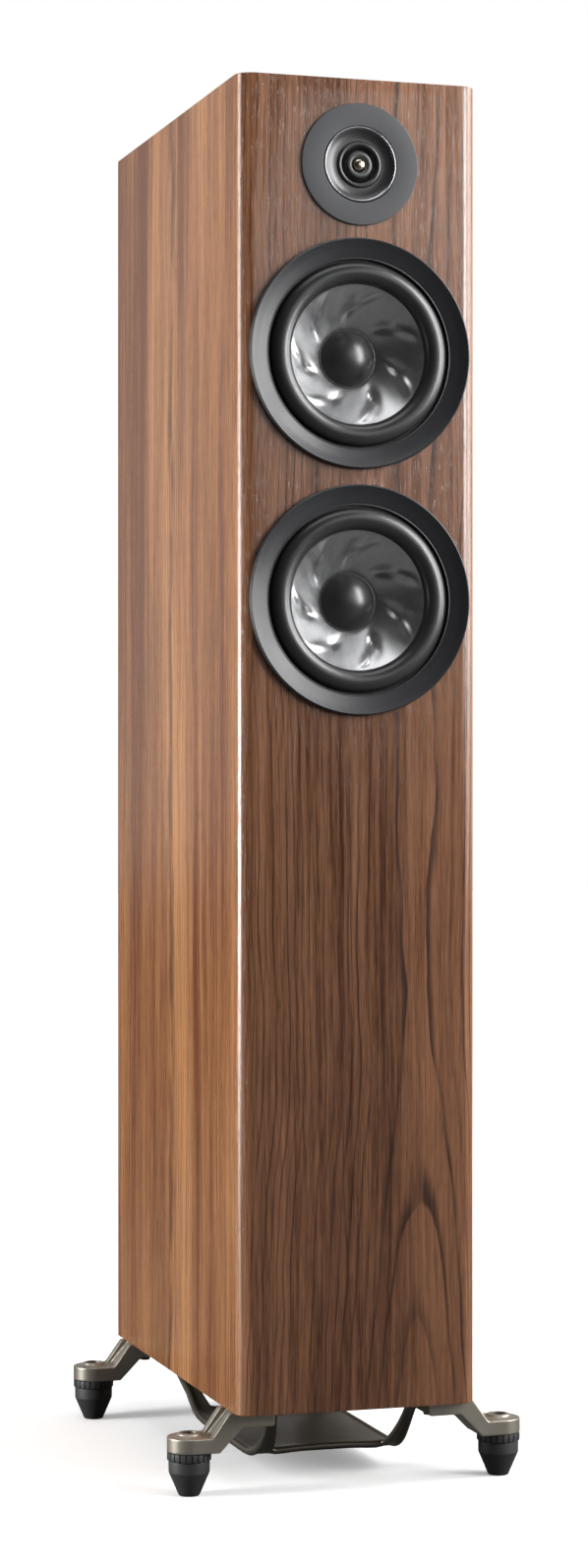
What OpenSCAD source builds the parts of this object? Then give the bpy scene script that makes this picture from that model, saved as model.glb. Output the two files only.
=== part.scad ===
// Floorstanding two-and-a-half-way speaker on a cast four-foot base.
// Frame: origin on the floor under the middle of the cabinet, +X right seen
// from the front, +Y to the back, +Z up. The baffle faces -Y. Millimetres.

/* [Cabinet] */
// Width of the cabinet
cabinet_w = 194; // [190:1:196]
// Depth of the cabinet, front face to back face
cabinet_d = 379; // [374:1:390]
// Height of the wooden cabinet
cabinet_h = 1027; // [1020:1:1040]
// Height of the cabinet's underside above the floor
floor_gap = 64; // [64:1:66]
// Thickness of the side, top, bottom and rear panels
panel_t = 18; // [18:1:19]
// Thickness of the front baffle
baffle_t = 25; // [25:1:27]
// Radius of the baffle's two upright front edges
edge_r = 13; // [10:1:15]

/* [Drivers] */
// Distance from the cabinet's top to the tweeter's axis
tweeter_drop = 66; // [64:0.2:68]
// Distance from the cabinet's top to the upper woofer's axis
woofer_drop = 211.9; // [211:0.1:214]
// Distance between the two woofer axes
woofer_pitch = 190; // [188:1:192]
// Radius of the trim ring over a woofer's flange
trim_r = 89; // [88:0.5:90]
// How far the trim ring stands proud of the baffle
trim_proud = 5; // [4.5:0.5:6]

/* [Base] */
// Distance from the centre plane to each foot's axis, sideways
foot_x = 127; // [125:1:130]
// Distance from the centre plane to each foot's axis, front to back
foot_y = 156; // [153:0.5:158]
// Half of an outrigger's depth, and the radius of its rounded pad
pad_r = 17.25; // [17:0.25:18]
// Radius of the rubber foot's upper body
foot_r = 16; // [15:0.5:16]

/* [Terminals] */
// Distance between the two binding posts
post_pitch = 38; // [36:1:40]
// Height of the binding posts above the floor
post_z = 214; // [210:1:220]

/* [Hidden] */
$fn = 96;

// Gaps between pieces
run_gap = 0.05;
seat_gap = 0.2;
cut = 1;

// Cabinet levels and faces
half_w = cabinet_w / 2;
front_y = -cabinet_d / 2;
back_y = cabinet_d / 2;
baffle_back_y = front_y + baffle_t;
inner_back_y = back_y - panel_t;
inner_x = half_w - panel_t;
top_z = floor_gap + cabinet_h;
bottom_top_z = floor_gap + panel_t;
tweeter_z = top_z - tweeter_drop;
upper_z = top_z - woofer_drop;
lower_z = upper_z - woofer_pitch;

// Tweeter sizes, with heights measured forward from the baffle's face
plate_r = 47;
plate_top = 2.2;
plate_back = -1.5;
tweeter_seat = -4;
dish_r = 29;
throat_r = 17;
throat_z = -0.3;
dish_back = -6;
tweeter_hole_r = 36;
tweeter_body_r = 34;
motor_front = -8;
motor_back = -38;
film_t = 0.5;
film_z = -3;
roll_in_r = 8.4;
roll_in_size = 3.4;
roll_out_r = 14;
roll_out_size = 2.7;
dome_coil_r = 11.3;
dome_coil_end = -10;
plug_r = 4.8;
plug_shoulder = -1;
plug_dome = 2.6;
tweeter_screw_r = 1.6;
tweeter_screw_ring = 41;

// Woofer sizes, with heights measured forward from the baffle's face
woofer_hole_r = 73;
flange_r = 86;
flange_top = -4;
flange_bottom = -8;
trim_under = -1.7;
trim_in_r = 73.2;
roll_mid_r = 63;
roll_r = 8.4;
skin_t = 1.2;
cone_edge_z = -5;
cone_neck_r = 19.35;
cone_neck_z = -34;
cone_t = 1;
cap_r = 22.5;
cap_rise = 11;
former_r = 19.25;
former_t = 0.25;
former_end = -81;
winding_r = 20;
winding_top = -66.5;
basket_floor = -67;
plate_front = -70;
magnet_front = -77;
yoke_front = -95;
yoke_back = -103;
magnet_r = 56;
pole_r = 18.6;
gap_r = 20.6;
spider_z = -57;
spider_out_r = 55.5;
spider_lip = 3;
spider_t = 0.4;
woofer_screw_r = 2;
woofer_screw_ring = 80;
woofer_screw_count = 8;

// Brace levels and the window in each brace
brace_levels = [300, 560, 785];
brace_window_x = 52;
brace_window_front = -112;
brace_window_back = 158;

// Cables
wire_r = 2.5;
wire_y = 146;
wire_bend = 20;

// Port tube
port_r = 32;
port_wall = 3;
port_top_z = 240;
flare_r = 14;

// Crossover board, standing on the rear panel
board_z = 325;
board_h = 140;
board_w = 110;
board_t = 1.6;
board_y = 157;

// Terminal cup
cup_w = 90;
cup_h = 104;
cup_proud = 2.5;
tub_w = 70;
tub_h = 84;
tub_depth = 28;
tub_wall = 2.5;
tub_floor_y = back_y - tub_depth + tub_wall;
stem_r = 3;
banana_r = 2;
banana_depth = 19;
post_collar_h = 4;
washer_h = 1.8;
knob_r = 8.5;
knob_end_y = back_y + trim_proud;
stem_end_y = knob_end_y - 1;
knob_ribs = 18;

// Outriggers and feet
pad_top = 45.5;
pad_bottom = 34;
arm_inner_x = 63;
arm_flange_z = 52.3;
boss_r = 9;
boss_h = 2.6;
spindle_r = 5;
journal_r = 6;
wheel_r = 17.15;
wheel_bottom = 27.5;
wheel_top = pad_bottom - seat_gap;
wheel_notches = 22;
foot_cone_z = 18.5;
foot_tip_r = 8;
socket_floor = 8;
base_screw_r = 2.45;
base_screw_top = 76;
arm_screw_x = [71, 83];
arm_screw_y = 149;

// Port diffuser, a tray that hangs below the bottom panel
tray_x = 62.4;
tray_t = 4.6;
tray_mid_z = 15.9;
tray_bend_r = 30;
tray_top_y = 146;
mouth_top_x = 53;
mouth_low_x = 45;
mouth_low_z = 20;
ear_t = 4;
ear_front = 141;
ear_back = 116;
ear_inner_x = 46;
tray_screw_x = 54;
tray_screw_y = 125;

// Points of an arc about (cx, cy), from angle a to angle b in n steps
function arc(cx, cy, r, a, b, n) =
    [for (i = [0:n]) [cx + r * cos(a + (b - a) * i / n), cy + r * sin(a + (b - a) * i / n)]];

// Places a driver so that its local +Z points out of the baffle
module on_baffle(z) {
    translate([0, front_y, z]) rotate([90, 0, 0]) children();
}

// Places a piece so that its local +Z points out of the back
module on_back(x, y, z) {
    translate([x, y, z]) rotate([-90, 0, 0]) children();
}

module tube(r_out, r_in, h) {
    difference() {
        cylinder(r = r_out, h = h);
        translate([0, 0, -cut]) cylinder(r = r_in, h = h + 2 * cut);
    }
}

// Repeats its children on a circle about the local Z axis
module ring_of(count, r) {
    for (i = [0:count - 1]) rotate([0, 0, (i + 0.5) * 360 / count]) translate([r, 0, 0]) children();
}

// A countersunk screw whose head's face is at z = 0
module flat_screw(r, head_r, length) {
    rotate_extrude() polygon([
        [0, 0], [head_r, 0], [head_r, -0.4], [r, -0.4 - (head_r - r)], [r, -length], [0, -length]
    ]);
}

// A pan-headed screw whose head sits on z = 0, with a cross recess
module pan_screw(r, head_r, head_h, length) {
    difference() {
        rotate_extrude() polygon([
            [0, -length], [r, -length], [r, 0], [head_r, 0],
            [head_r, head_h * 0.5], [head_r * 0.75, head_h], [0, head_h]
        ]);
        for (a = [0, 90]) rotate([0, 0, a]) translate([-head_r * 0.5, -0.35, head_h * 0.4])
            cube([head_r, 0.7, head_h]);
    }
}

// ---- Cabinet ----

module side_panel(side) {
    x = side > 0 ? inner_x : -half_w;
    color("#9b6c4b") difference() {
        translate([x, baffle_back_y, floor_gap]) cube([panel_t, cabinet_d - baffle_t, cabinet_h]);
        for (end = [-1, 1]) arm_screw_holes(side, end);
    }
}

module top_panel() {
    color("#8f6244") translate([-inner_x, baffle_back_y, top_z - panel_t])
        cube([2 * inner_x, cabinet_d - baffle_t, panel_t]);
}

module bottom_panel() {
    color("#8f6244") difference() {
        translate([-inner_x, baffle_back_y, floor_gap])
            cube([2 * inner_x, cabinet_d - baffle_t, panel_t]);
        translate([0, 0, floor_gap - cut])
            cylinder(r = port_r + port_wall + flare_r + run_gap, h = panel_t + 2 * cut);
        for (side = [-1, 1]) for (end = [-1, 1]) {
            arm_screw_holes(side, end);
            tray_screw_at(side, end)
                cylinder(r = base_screw_r + run_gap, h = base_screw_top - floor_gap + 2);
        }
    }
}

module rear_panel() {
    color("#8a5f42") difference() {
        translate([-inner_x, inner_back_y, bottom_top_z])
            cube([2 * inner_x, panel_t, cabinet_h - 2 * panel_t]);
        translate([-tub_w / 2 - seat_gap, inner_back_y - cut, post_z - tub_h / 2 - seat_gap])
            cube([tub_w + 2 * seat_gap, panel_t + 2 * cut, tub_h + 2 * seat_gap]);
        cup_screws_at() translate([0, 0, -14]) cylinder(r = tweeter_screw_r + run_gap, h = 20);
    }
}

module front_baffle() {
    color("#6d4a35") difference() {
        translate([0, 0, floor_gap]) linear_extrude(cabinet_h) intersection() {
            translate([-half_w, front_y]) square([cabinet_w, baffle_t]);
            union() {
                translate([-half_w, front_y + edge_r]) square([cabinet_w, baffle_t]);
                translate([-half_w + edge_r, front_y]) square([cabinet_w - 2 * edge_r, baffle_t]);
                for (side = [-1, 1]) translate([side * (half_w - edge_r), front_y + edge_r])
                    circle(r = edge_r);
            }
        }
        on_baffle(tweeter_z) {
            translate([0, 0, tweeter_seat]) cylinder(r = plate_r + run_gap, h = 10);
            translate([0, 0, -baffle_t - cut]) cylinder(r = tweeter_hole_r, h = baffle_t);
            ring_of(4, tweeter_screw_ring) translate([0, 0, -20])
                cylinder(r = tweeter_screw_r + run_gap, h = 19);
        }
        for (z = [upper_z, lower_z]) on_baffle(z) {
            translate([0, 0, flange_bottom]) cylinder(r = flange_r + seat_gap, h = 20);
            translate([0, 0, -baffle_t - cut]) cylinder(r = woofer_hole_r, h = baffle_t);
            ring_of(woofer_screw_count, woofer_screw_ring)
                translate([0, 0, -23]) cylinder(r = woofer_screw_r + run_gap, h = 19);
        }
    }
}

module cabinet_braces() {
    color("#b39468") for (z = brace_levels) difference() {
        translate([-inner_x, baffle_back_y, z - panel_t / 2])
            cube([2 * inner_x, inner_back_y - baffle_back_y, panel_t]);
        translate([-brace_window_x, brace_window_front, z - panel_t])
            cube([2 * brace_window_x, brace_window_back - brace_window_front, 2 * panel_t]);
    }
}

// A port flared at both ends; its lower flare is flush with the underside
module port_tube() {
    r_out = port_r + port_wall;
    low = floor_gap + flare_r;
    high = port_top_z - flare_r;
    color("#1c1c1e") rotate_extrude() polygon(concat(
        [[r_out + flare_r, floor_gap]],
        arc(r_out + flare_r, low, flare_r, 270, 180, 8),
        arc(r_out + flare_r, high, flare_r, 180, 90, 8),
        arc(r_out + flare_r, high, flare_r + port_wall, 90, 180, 8),
        arc(r_out + flare_r, low, flare_r + port_wall, 180, 235, 8),
        [[r_out + flare_r - 12, floor_gap]]
    ));
}

module damping_wadding() {
    sheet = [20, 170, 160];
    color("#d8d4c8") for (x = [seat_gap - inner_x, inner_x - sheet[0] - seat_gap])
        translate([x, -50, 600]) cube(sheet);
}

// ---- Tweeter ----

module tweeter_faceplate() {
    color("#2b2c2e") on_baffle(tweeter_z) rotate_extrude() polygon([
        [dish_r + run_gap, plate_back], [plate_r, plate_back], [plate_r, plate_top - 0.5],
        [plate_r - 0.5, plate_top], [dish_r + run_gap, plate_top]
    ]);
}

// The dish that guides the sound, with its hidden fixing flange
module tweeter_waveguide() {
    lip = 1.2;
    color("#3a3b3d") on_baffle(tweeter_z) difference() {
        rotate_extrude() polygon([
            [dish_r, plate_back], [dish_r, plate_top], [dish_r - 0.6, plate_top + 0.4],
            [dish_r - 1.6, plate_top - 0.4], [24, 0.2], [21, -0.6], [throat_r + 1.4, -0.9],
            [throat_r + 0.9, throat_z], [throat_r, throat_z - 0.5], [throat_r, dish_back],
            [tweeter_body_r, dish_back], [tweeter_body_r, tweeter_seat],
            [plate_r - lip, tweeter_seat], [plate_r - lip, plate_back]
        ]);
        ring_of(4, tweeter_screw_ring) translate([0, 0, plate_back + run_gap])
            flat_screw(tweeter_screw_r + run_gap, 3, 20);
    }
}

// Half of a roll's section: the upper half for dir = 1, the lower half for dir = -1
module half_roll(mid_r, size, dir) {
    intersection() {
        difference() {
            translate([mid_r, film_z]) circle(r = size);
            translate([mid_r, film_z]) circle(r = size - film_t);
        }
        translate([0, dir > 0 ? film_z : film_z - 2 * size]) square([2 * throat_r, 2 * size]);
    }
}

// Ring radiator: two rolls with the voice coil behind the line where they meet
module tweeter_diaphragm() {
    color("#4a4c50") on_baffle(tweeter_z) rotate_extrude() union() {
        half_roll(roll_in_r, roll_in_size, 1);
        half_roll(roll_out_r, roll_out_size, -1);
        translate([dome_coil_r, dome_coil_end]) square([film_t, film_z - dome_coil_end]);
    }
}

module tweeter_phase_plug() {
    plug_stem_r = 2;
    color("#b9a27a") on_baffle(tweeter_z) rotate_extrude() polygon(concat(
        [[0, motor_front - 4], [plug_stem_r, motor_front - 4], [plug_stem_r, motor_front],
         [plug_r, motor_front]],
        [for (i = [0:8]) [plug_r * cos(i * 90 / 8), plug_shoulder + plug_dome * sin(i * 90 / 8)]]
    ));
}

module tweeter_motor() {
    slot_r = 0.7;
    slot_deep = 2.5;
    color("#252628") on_baffle(tweeter_z) difference() {
        union() {
            translate([0, 0, motor_back]) cylinder(r = tweeter_body_r - 1, h = motor_front - motor_back);
            translate([0, 0, motor_front])
                tube(tweeter_body_r - 1, throat_r + 1, dish_back - motor_front);
        }
        translate([0, 0, dome_coil_end - slot_deep])
            tube(dome_coil_r + film_t + slot_r, dome_coil_r - slot_r,
                motor_front - dome_coil_end + slot_deep + cut);
        translate([0, 0, motor_front - 4]) cylinder(r = 2 + run_gap, h = 5);
    }
}

module tweeter_screws() {
    color("#202022") on_baffle(tweeter_z) ring_of(4, tweeter_screw_ring)
        translate([0, 0, plate_back]) flat_screw(tweeter_screw_r, 3 - run_gap, 16);
}

// ---- Woofers ----

module trim_ring(z) {
    color("#1e1f21") on_baffle(z) rotate_extrude() polygon(concat(
        [[trim_in_r, trim_under], [flange_r - 0.5, trim_under], [flange_r - 0.5, 0], [trim_r, 0],
         [trim_r, trim_proud - 1.2]],
        arc(trim_r - 1.2, trim_proud - 1.2, 1.2, 20, 120, 4),
        [[84, 2.9], [79, 0.7], [trim_in_r, trim_under + 0.6]]
    ));
}

// Cast frame: flange, six-windowed shell, a ledge for the spider and a floor that holds the motor
module basket(z) {
    ledge_r = spider_out_r - spider_lip + 0.3;
    window_w = 48;
    window_low = -53;
    window_h = 39;
    color("#19191b") on_baffle(z) difference() {
        rotate_extrude() polygon([
            [69.6, flange_top], [flange_r, flange_top], [flange_r, flange_bottom], [72.6, flange_bottom],
            [60, basket_floor], [60, plate_front], [30, plate_front], [30, basket_floor],
            [ledge_r, basket_floor], [ledge_r, spider_z - spider_t], [57.4, spider_z - spider_t],
            [69.6, flange_bottom]
        ]);
        for (i = [0:5]) rotate([0, 0, i * 60])
            translate([58.5, -window_w / 2, window_low]) cube([40, window_w, window_h]);
        ring_of(woofer_screw_count, woofer_screw_ring)
            translate([0, 0, flange_bottom - cut]) cylinder(r = woofer_screw_r + run_gap, h = 8);
    }
}

// Half-roll rubber surround from the cone's edge to the basket's flange
module surround(z) {
    base = cone_edge_z + cone_t;
    color("#141415") on_baffle(z) rotate_extrude() union() {
        intersection() {
            difference() {
                translate([roll_mid_r, base]) circle(r = roll_r);
                translate([roll_mid_r, base]) circle(r = roll_r - skin_t);
            }
            translate([0, base]) square([flange_r, 2 * roll_r]);
        }
        translate([roll_mid_r + roll_r - skin_t, base]) square([3 + skin_t, skin_t]);
    }
}

module cone(z) {
    rim = roll_mid_r - roll_r + skin_t;
    mid_r = 40;
    mid_z = -18.2;
    color("#5b5d60") on_baffle(z) rotate_extrude() polygon([
        [cone_neck_r, cone_neck_z], [cap_r, cone_neck_z + 2.6], [mid_r, mid_z], [rim - 2, cone_edge_z],
        [rim, cone_edge_z], [rim, cone_edge_z + cone_t], [rim - 2, cone_edge_z + cone_t],
        [mid_r - 0.6, mid_z + cone_t], [cap_r - 0.4, cone_neck_z + 3.9], [cone_neck_r, cone_neck_z + 1.6]
    ]);
}

module dust_cap(z) {
    ball_r = (cap_r * cap_r + cap_rise * cap_rise) / (2 * cap_rise);
    base = cone_neck_z + 4.4;
    span = asin(cap_r / ball_r);
    color("#0c0c0d") on_baffle(z) rotate_extrude() polygon(concat(
        arc(0, base + cap_rise - ball_r, ball_r, 90 - span, 90, 12),
        [[0, base + cap_rise - 1]],
        arc(0, base + cap_rise - ball_r, ball_r - 1, 90, 92 - span, 12)
    ));
}

// Former and winding, which move with the cone
module voice_coil(z) {
    color("#b56a3a") on_baffle(z) rotate_extrude() polygon([
        [former_r - former_t, former_end], [winding_r, former_end], [winding_r, winding_top],
        [former_r, winding_top], [former_r, cone_neck_z + 1.6], [former_r - former_t, cone_neck_z + 1.6]
    ]);
}

// Corrugated centring disc
module spider(z) {
    waves = 5;
    swing = 1.5;
    in_r = former_r + 0.1;
    pitch = (spider_out_r - spider_lip - in_r) / waves;
    top = [for (i = [0:waves * 4]) [in_r + pitch * i / 4, spider_z + swing * sin(i * 90)]];
    low = [for (i = [len(top) - 1:-1:0]) [top[i][0], top[i][1] - spider_t]];
    color("#c98f45") on_baffle(z) rotate_extrude() polygon(concat(
        top, [[spider_out_r, spider_z], [spider_out_r, spider_z - spider_t]], low
    ));
}

module magnet(z) {
    color("#333438") on_baffle(z) translate([0, 0, yoke_front])
        tube(magnet_r, 26, magnet_front - yoke_front);
}

// Steel circuit: the front plate, and the back plate with its pole
module yoke(z) {
    color("#8b8d90") on_baffle(z) {
        translate([0, 0, magnet_front]) tube(magnet_r - 2, gap_r, plate_front - magnet_front);
        translate([0, 0, yoke_back]) cylinder(r = magnet_r - 2, h = yoke_front - yoke_back);
        translate([0, 0, yoke_front - cut]) cylinder(r = pole_r, h = plate_front - yoke_front + cut);
    }
}

module woofer_screws() {
    color("#202022") for (z = [upper_z, lower_z]) on_baffle(z)
        ring_of(woofer_screw_count, woofer_screw_ring)
            translate([0, 0, flange_top]) pan_screw(woofer_screw_r, 3.6, 2.2, 16);
}

// ---- Crossover and wiring ----

module crossover_board() {
    color("#2f5f3c") {
        translate([-board_w / 2, board_y, board_z]) cube([board_w, board_t, board_h]);
        for (x = [-1, 1]) for (z = [8, board_h - 8])
            on_back(x * (board_w / 2 - 8), board_y + board_t - 0.1, board_z + z)
                cylinder(r = 3, h = inner_back_y - board_y - board_t + 0.1);
    }
}

// Three air-cored coils lying flat on the board
module crossover_inductors() {
    coil_h = 18;
    color("#b0602f") for (spot = [[-30, 112], [30, 112], [0, 74]])
        on_back(spot[0], board_y - coil_h, board_z + spot[1]) tube(19, 8, coil_h);
}

module crossover_capacitors() {
    can_r = 9.3;
    can_x = -46;
    color("#24407a") for (z = [36, 14])
        translate([can_x, board_y - can_r - seat_gap, board_z + z]) rotate([0, 90, 0])
            cylinder(r = can_r, h = 40);
}

module crossover_resistors() {
    block = [38, 9, 9];
    color("#d9d6cc") for (z = [8, 26, 44])
        translate([block[1], board_y - block[1], board_z + z]) cube(block);
}

// A round cable that climbs behind the drivers, bends, and runs forward
module driver_cable(x, from_z, to_z, to_y) {
    translate([x, wire_y, from_z]) cylinder(r = wire_r, h = to_z - wire_bend - from_z);
    translate([x, wire_y - wire_bend, to_z - wire_bend]) rotate([90, 0, 90])
        rotate_extrude(angle = 90) translate([wire_bend, 0]) circle(r = wire_r);
    translate([x, wire_y - wire_bend, to_z]) rotate([90, 0, 0])
        cylinder(r = wire_r, h = wire_y - wire_bend - to_y);
}

module internal_wiring() {
    climb_z = board_z + board_h - 8;
    color("#7a2020") {
        driver_cable(-46, climb_z, lower_z - 62, -100);
        driver_cable(0, climb_z, upper_z - 65, -100);
        driver_cable(46, climb_z, tweeter_z - 41, -130);
        for (side = [-1, 1]) translate([side * post_pitch / 2, tub_floor_y - 11, post_z - 3])
            cylinder(r = wire_r, h = board_z - post_z + 5);
    }
}

// ---- Terminals ----

module cup_screws_at() {
    for (x = [-1, 1]) for (z = [-1, 1])
        on_back(x * (cup_w / 2 - 5), back_y + cup_proud, post_z + z * (cup_h / 2 - 5)) children();
}

module terminal_cup() {
    hollow_x = tub_w / 2 - tub_wall;
    color("#17181a") difference() {
        union() {
            translate([-cup_w / 2, back_y, post_z - cup_h / 2]) cube([cup_w, cup_proud, cup_h]);
            translate([-tub_w / 2, back_y - tub_depth, post_z - tub_h / 2])
                cube([tub_w, tub_depth, tub_h]);
        }
        translate([-hollow_x, tub_floor_y, post_z - tub_h / 2 + tub_wall])
            cube([2 * hollow_x, tub_depth + cup_proud, tub_h - 2 * tub_wall]);
        for (side = [-1, 1]) on_back(side * post_pitch / 2, back_y - tub_depth - cut, post_z)
            cylinder(r = stem_r + run_gap, h = tub_wall + 2 * cut);
        cup_screws_at() translate([0, 0, run_gap]) flat_screw(tweeter_screw_r + run_gap, 3, 20);
    }
}

module terminal_screws() {
    color("#202022") cup_screws_at() flat_screw(tweeter_screw_r, 3 - run_gap, 14);
}

// Metal stems with a four-millimetre socket, each on an insulating collar
module terminal_posts() {
    tail = 8;
    length = stem_end_y - tub_floor_y;
    color("#c9a959") for (side = [-1, 1]) on_back(side * post_pitch / 2, tub_floor_y, post_z)
        difference() {
            union() {
                cylinder(r = 7, h = post_collar_h);
                translate([0, 0, -tail]) cylinder(r = stem_r, h = length + tail);
            }
            translate([0, 0, length - banana_depth]) cylinder(r = banana_r, h = banana_depth + cut);
        }
}

module clamp_washer(side) {
    color("#c9a959") on_back(side * post_pitch / 2, tub_floor_y + post_collar_h + 0.02, post_z)
        tube(7.5, stem_r + run_gap, washer_h);
}

// Ribbed clamping knob
module post_knob(side, tint) {
    base_y = tub_floor_y + post_collar_h + washer_h + 0.04;
    length = knob_end_y - base_y;
    color(tint) on_back(side * post_pitch / 2, base_y, post_z) difference() {
        rotate_extrude() polygon([
            [stem_r + run_gap, 0], [knob_r - 1, 0], [knob_r, 1], [knob_r, length - 1],
            [knob_r - 1, length], [stem_r + run_gap, length]
        ]);
        ring_of(knob_ribs, knob_r + 0.35) translate([0, 0, 4]) cylinder(r = 0.9, h = length);
    }
}

// ---- Base ----

// Puts children on one corner, mirrored so that +X points outward and +Y backward or forward
module corner(side, end) {
    scale_x = side > 0 ? 0 : 1;
    scale_y = end < 0 ? 0 : 1;
    mirror([scale_x, 0, 0]) mirror([0, scale_y, 0]) children();
}

// The two screws of one outrigger, as children on each axis at the underside of its flange
module arm_screw_at() {
    for (x = arm_screw_x) translate([x, -arm_screw_y, arm_flange_z]) children();
}

module arm_screw_holes(side, end) {
    corner(side, end) arm_screw_at() translate([0, 0, -cut])
        cylinder(r = base_screw_r + run_gap, h = base_screw_top - arm_flange_z + 2);
}

module outrigger(side, end) {
    slope_top_x = 99;
    slope_end_x = 112;
    channel_w = 17;
    channel_deep = 3.5;
    slope = atan2(floor_gap - pad_top, slope_end_x - slope_top_x);
    color("#8d8474") corner(side, end) difference() {
        union() {
            translate([0, -foot_y + pad_r, 0]) rotate([90, 0, 0]) linear_extrude(2 * pad_r)
                polygon(concat(
                    [[arm_inner_x, floor_gap], [slope_top_x, floor_gap], [slope_end_x, pad_top],
                     [foot_x, pad_top], [foot_x, pad_bottom], [107, pad_bottom], [89, arm_flange_z]],
                    arc(arm_inner_x + 4, arm_flange_z + 4, 4, 270, 180, 4)
                ));
            translate([foot_x, -foot_y, pad_bottom]) cylinder(r = pad_r, h = pad_top - pad_bottom);
            translate([foot_x, -foot_y, pad_top - cut]) rotate_extrude() polygon([
                [0, 0], [boss_r, 0], [boss_r, cut + boss_h * 0.4],
                [boss_r - 1.8, cut + boss_h], [0, cut + boss_h]
            ]);
        }
        translate([slope_end_x, -foot_y - channel_w / 2, pad_top]) rotate([0, slope + 180, 0])
            translate([3, 0, -channel_deep]) cube([floor_gap, channel_w, 2 * channel_deep]);
        translate([foot_x, -foot_y, pad_bottom - cut]) cylinder(r = spindle_r + run_gap, h = 30);
        arm_screw_at() translate([0, 0, -cut]) cylinder(r = base_screw_r + run_gap, h = 20);
    }
}

// The screw of one tray ear, as children on its axis at the underside of the panel
module tray_screw_at(side, end) {
    corner(side, end) translate([tray_screw_x, -tray_screw_y, floor_gap - cut]) children();
}

// Half of the tray's side profile: ramp, bend and floor, as a band of one thickness
function tray_edge(r) = concat(
    [[-tray_top_y + (tray_bend_r - r) * sqrt(2), floor_gap]],
    arc(-tray_top_y + floor_gap - tray_mid_z + tray_bend_r * tan(22.5), tray_mid_z + tray_bend_r,
        r, 225, 270, 6)
);

function mirrored(points) = [for (p = points) [-p[0], p[1]]];

function reversed(points) = [for (i = [len(points) - 1:-1:0]) points[i]];

// Tray under the port: a floor, and two ramps each opened by a mouth
module port_diffuser() {
    low = tray_edge(tray_bend_r + tray_t / 2);
    high = tray_edge(tray_bend_r - tray_t / 2);
    color("#4a4740") difference() {
        union() {
            rotate([90, 0, 90]) translate([0, 0, -tray_x]) linear_extrude(2 * tray_x)
                polygon(concat(low, reversed(mirrored(low)), mirrored(high), reversed(high)));
            for (side = [-1, 1]) for (end = [-1, 1]) corner(side, end)
                translate([ear_inner_x, -ear_front, floor_gap - ear_t])
                    cube([tray_x - ear_inner_x, ear_front - ear_back, ear_t]);
        }
        for (end = [-1, 1]) corner(1, end) translate([0, -95, 0]) rotate([90, 0, 0]) linear_extrude(70)
            polygon([[-mouth_top_x, floor_gap + cut], [mouth_top_x, floor_gap + cut],
                     [mouth_low_x, mouth_low_z], [-mouth_low_x, mouth_low_z]]);
        for (side = [-1, 1]) for (end = [-1, 1]) tray_screw_at(side, end)
            translate([0, 0, -ear_t]) cylinder(r = base_screw_r + run_gap, h = 10);
    }
}

// Hex-headed screws that hold the outriggers and the tray
module base_screw(seat_z) {
    length = base_screw_top - seat_z;
    difference() {
        union() {
            cylinder(r = base_screw_r, h = length);
            translate([0, 0, -3]) cylinder(r = 4.2, h = 3);
        }
        translate([0, 0, -3 - cut]) cylinder(r = 2.3, h = 3, $fn = 6);
    }
}

module base_screws() {
    color("#2a2a2c") for (side = [-1, 1]) for (end = [-1, 1]) {
        corner(side, end) arm_screw_at() base_screw(arm_flange_z);
        tray_screw_at(side, end) translate([0, 0, cut - ear_t]) base_screw(floor_gap - ear_t);
    }
}

// Rubber foot, which stays still on the floor while the spindle turns in it
module foot(side, end) {
    color("#2a2b2d") corner(side, end) translate([foot_x, -foot_y, 0]) difference() {
        rotate_extrude() polygon(concat(
            [[0, 0]],
            arc(foot_tip_r - 1.5, 1.5, 1.5, 270, 340, 4),
            [[foot_r, foot_cone_z], [foot_r, wheel_bottom - seat_gap], [0, wheel_bottom - seat_gap]]
        ));
        translate([0, 0, socket_floor]) cylinder(r = journal_r + run_gap, h = wheel_bottom);
    }
}

// Levelling spindle: journal, notched thumb wheel and threaded stem with a hex socket
module spindle(side, end) {
    stem_top = pad_top + boss_h - 0.8;
    color("#313234") corner(side, end) translate([foot_x, -foot_y, 0]) difference() {
        union() {
            translate([0, 0, socket_floor + 0.02]) cylinder(r = journal_r, h = wheel_bottom - socket_floor);
            translate([0, 0, wheel_bottom]) cylinder(r = wheel_r, h = wheel_top - wheel_bottom);
            translate([0, 0, wheel_bottom + 1]) cylinder(r = spindle_r, h = stem_top - wheel_bottom - 1);
        }
        for (i = [0:wheel_notches - 1]) rotate([0, 0, i * 360 / wheel_notches])
            translate([wheel_r - 0.9, -0.7, wheel_bottom - cut]) cube([2, 1.4, 10]);
        translate([0, 0, stem_top - 6]) cylinder(r = 2.9, h = 8, $fn = 6);
    }
}

side_panel(-1);  // left_side_panel
side_panel(1);  // right_side_panel
top_panel();
bottom_panel();
rear_panel();
front_baffle();
cabinet_braces();
port_tube();
damping_wadding();
tweeter_faceplate();
tweeter_waveguide();
tweeter_diaphragm();
tweeter_phase_plug();
tweeter_motor();
tweeter_screws();
trim_ring(upper_z);  // upper_trim_ring
basket(upper_z);  // upper_basket
surround(upper_z);  // upper_surround
cone(upper_z);  // upper_cone
dust_cap(upper_z);  // upper_dust_cap
voice_coil(upper_z);  // upper_voice_coil
spider(upper_z);  // upper_spider
magnet(upper_z);  // upper_magnet
yoke(upper_z);  // upper_yoke
trim_ring(lower_z);  // lower_trim_ring
basket(lower_z);  // lower_basket
surround(lower_z);  // lower_surround
cone(lower_z);  // lower_cone
dust_cap(lower_z);  // lower_dust_cap
voice_coil(lower_z);  // lower_voice_coil
spider(lower_z);  // lower_spider
magnet(lower_z);  // lower_magnet
yoke(lower_z);  // lower_yoke
woofer_screws();
crossover_board();
crossover_inductors();
crossover_capacitors();
crossover_resistors();
internal_wiring();
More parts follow.
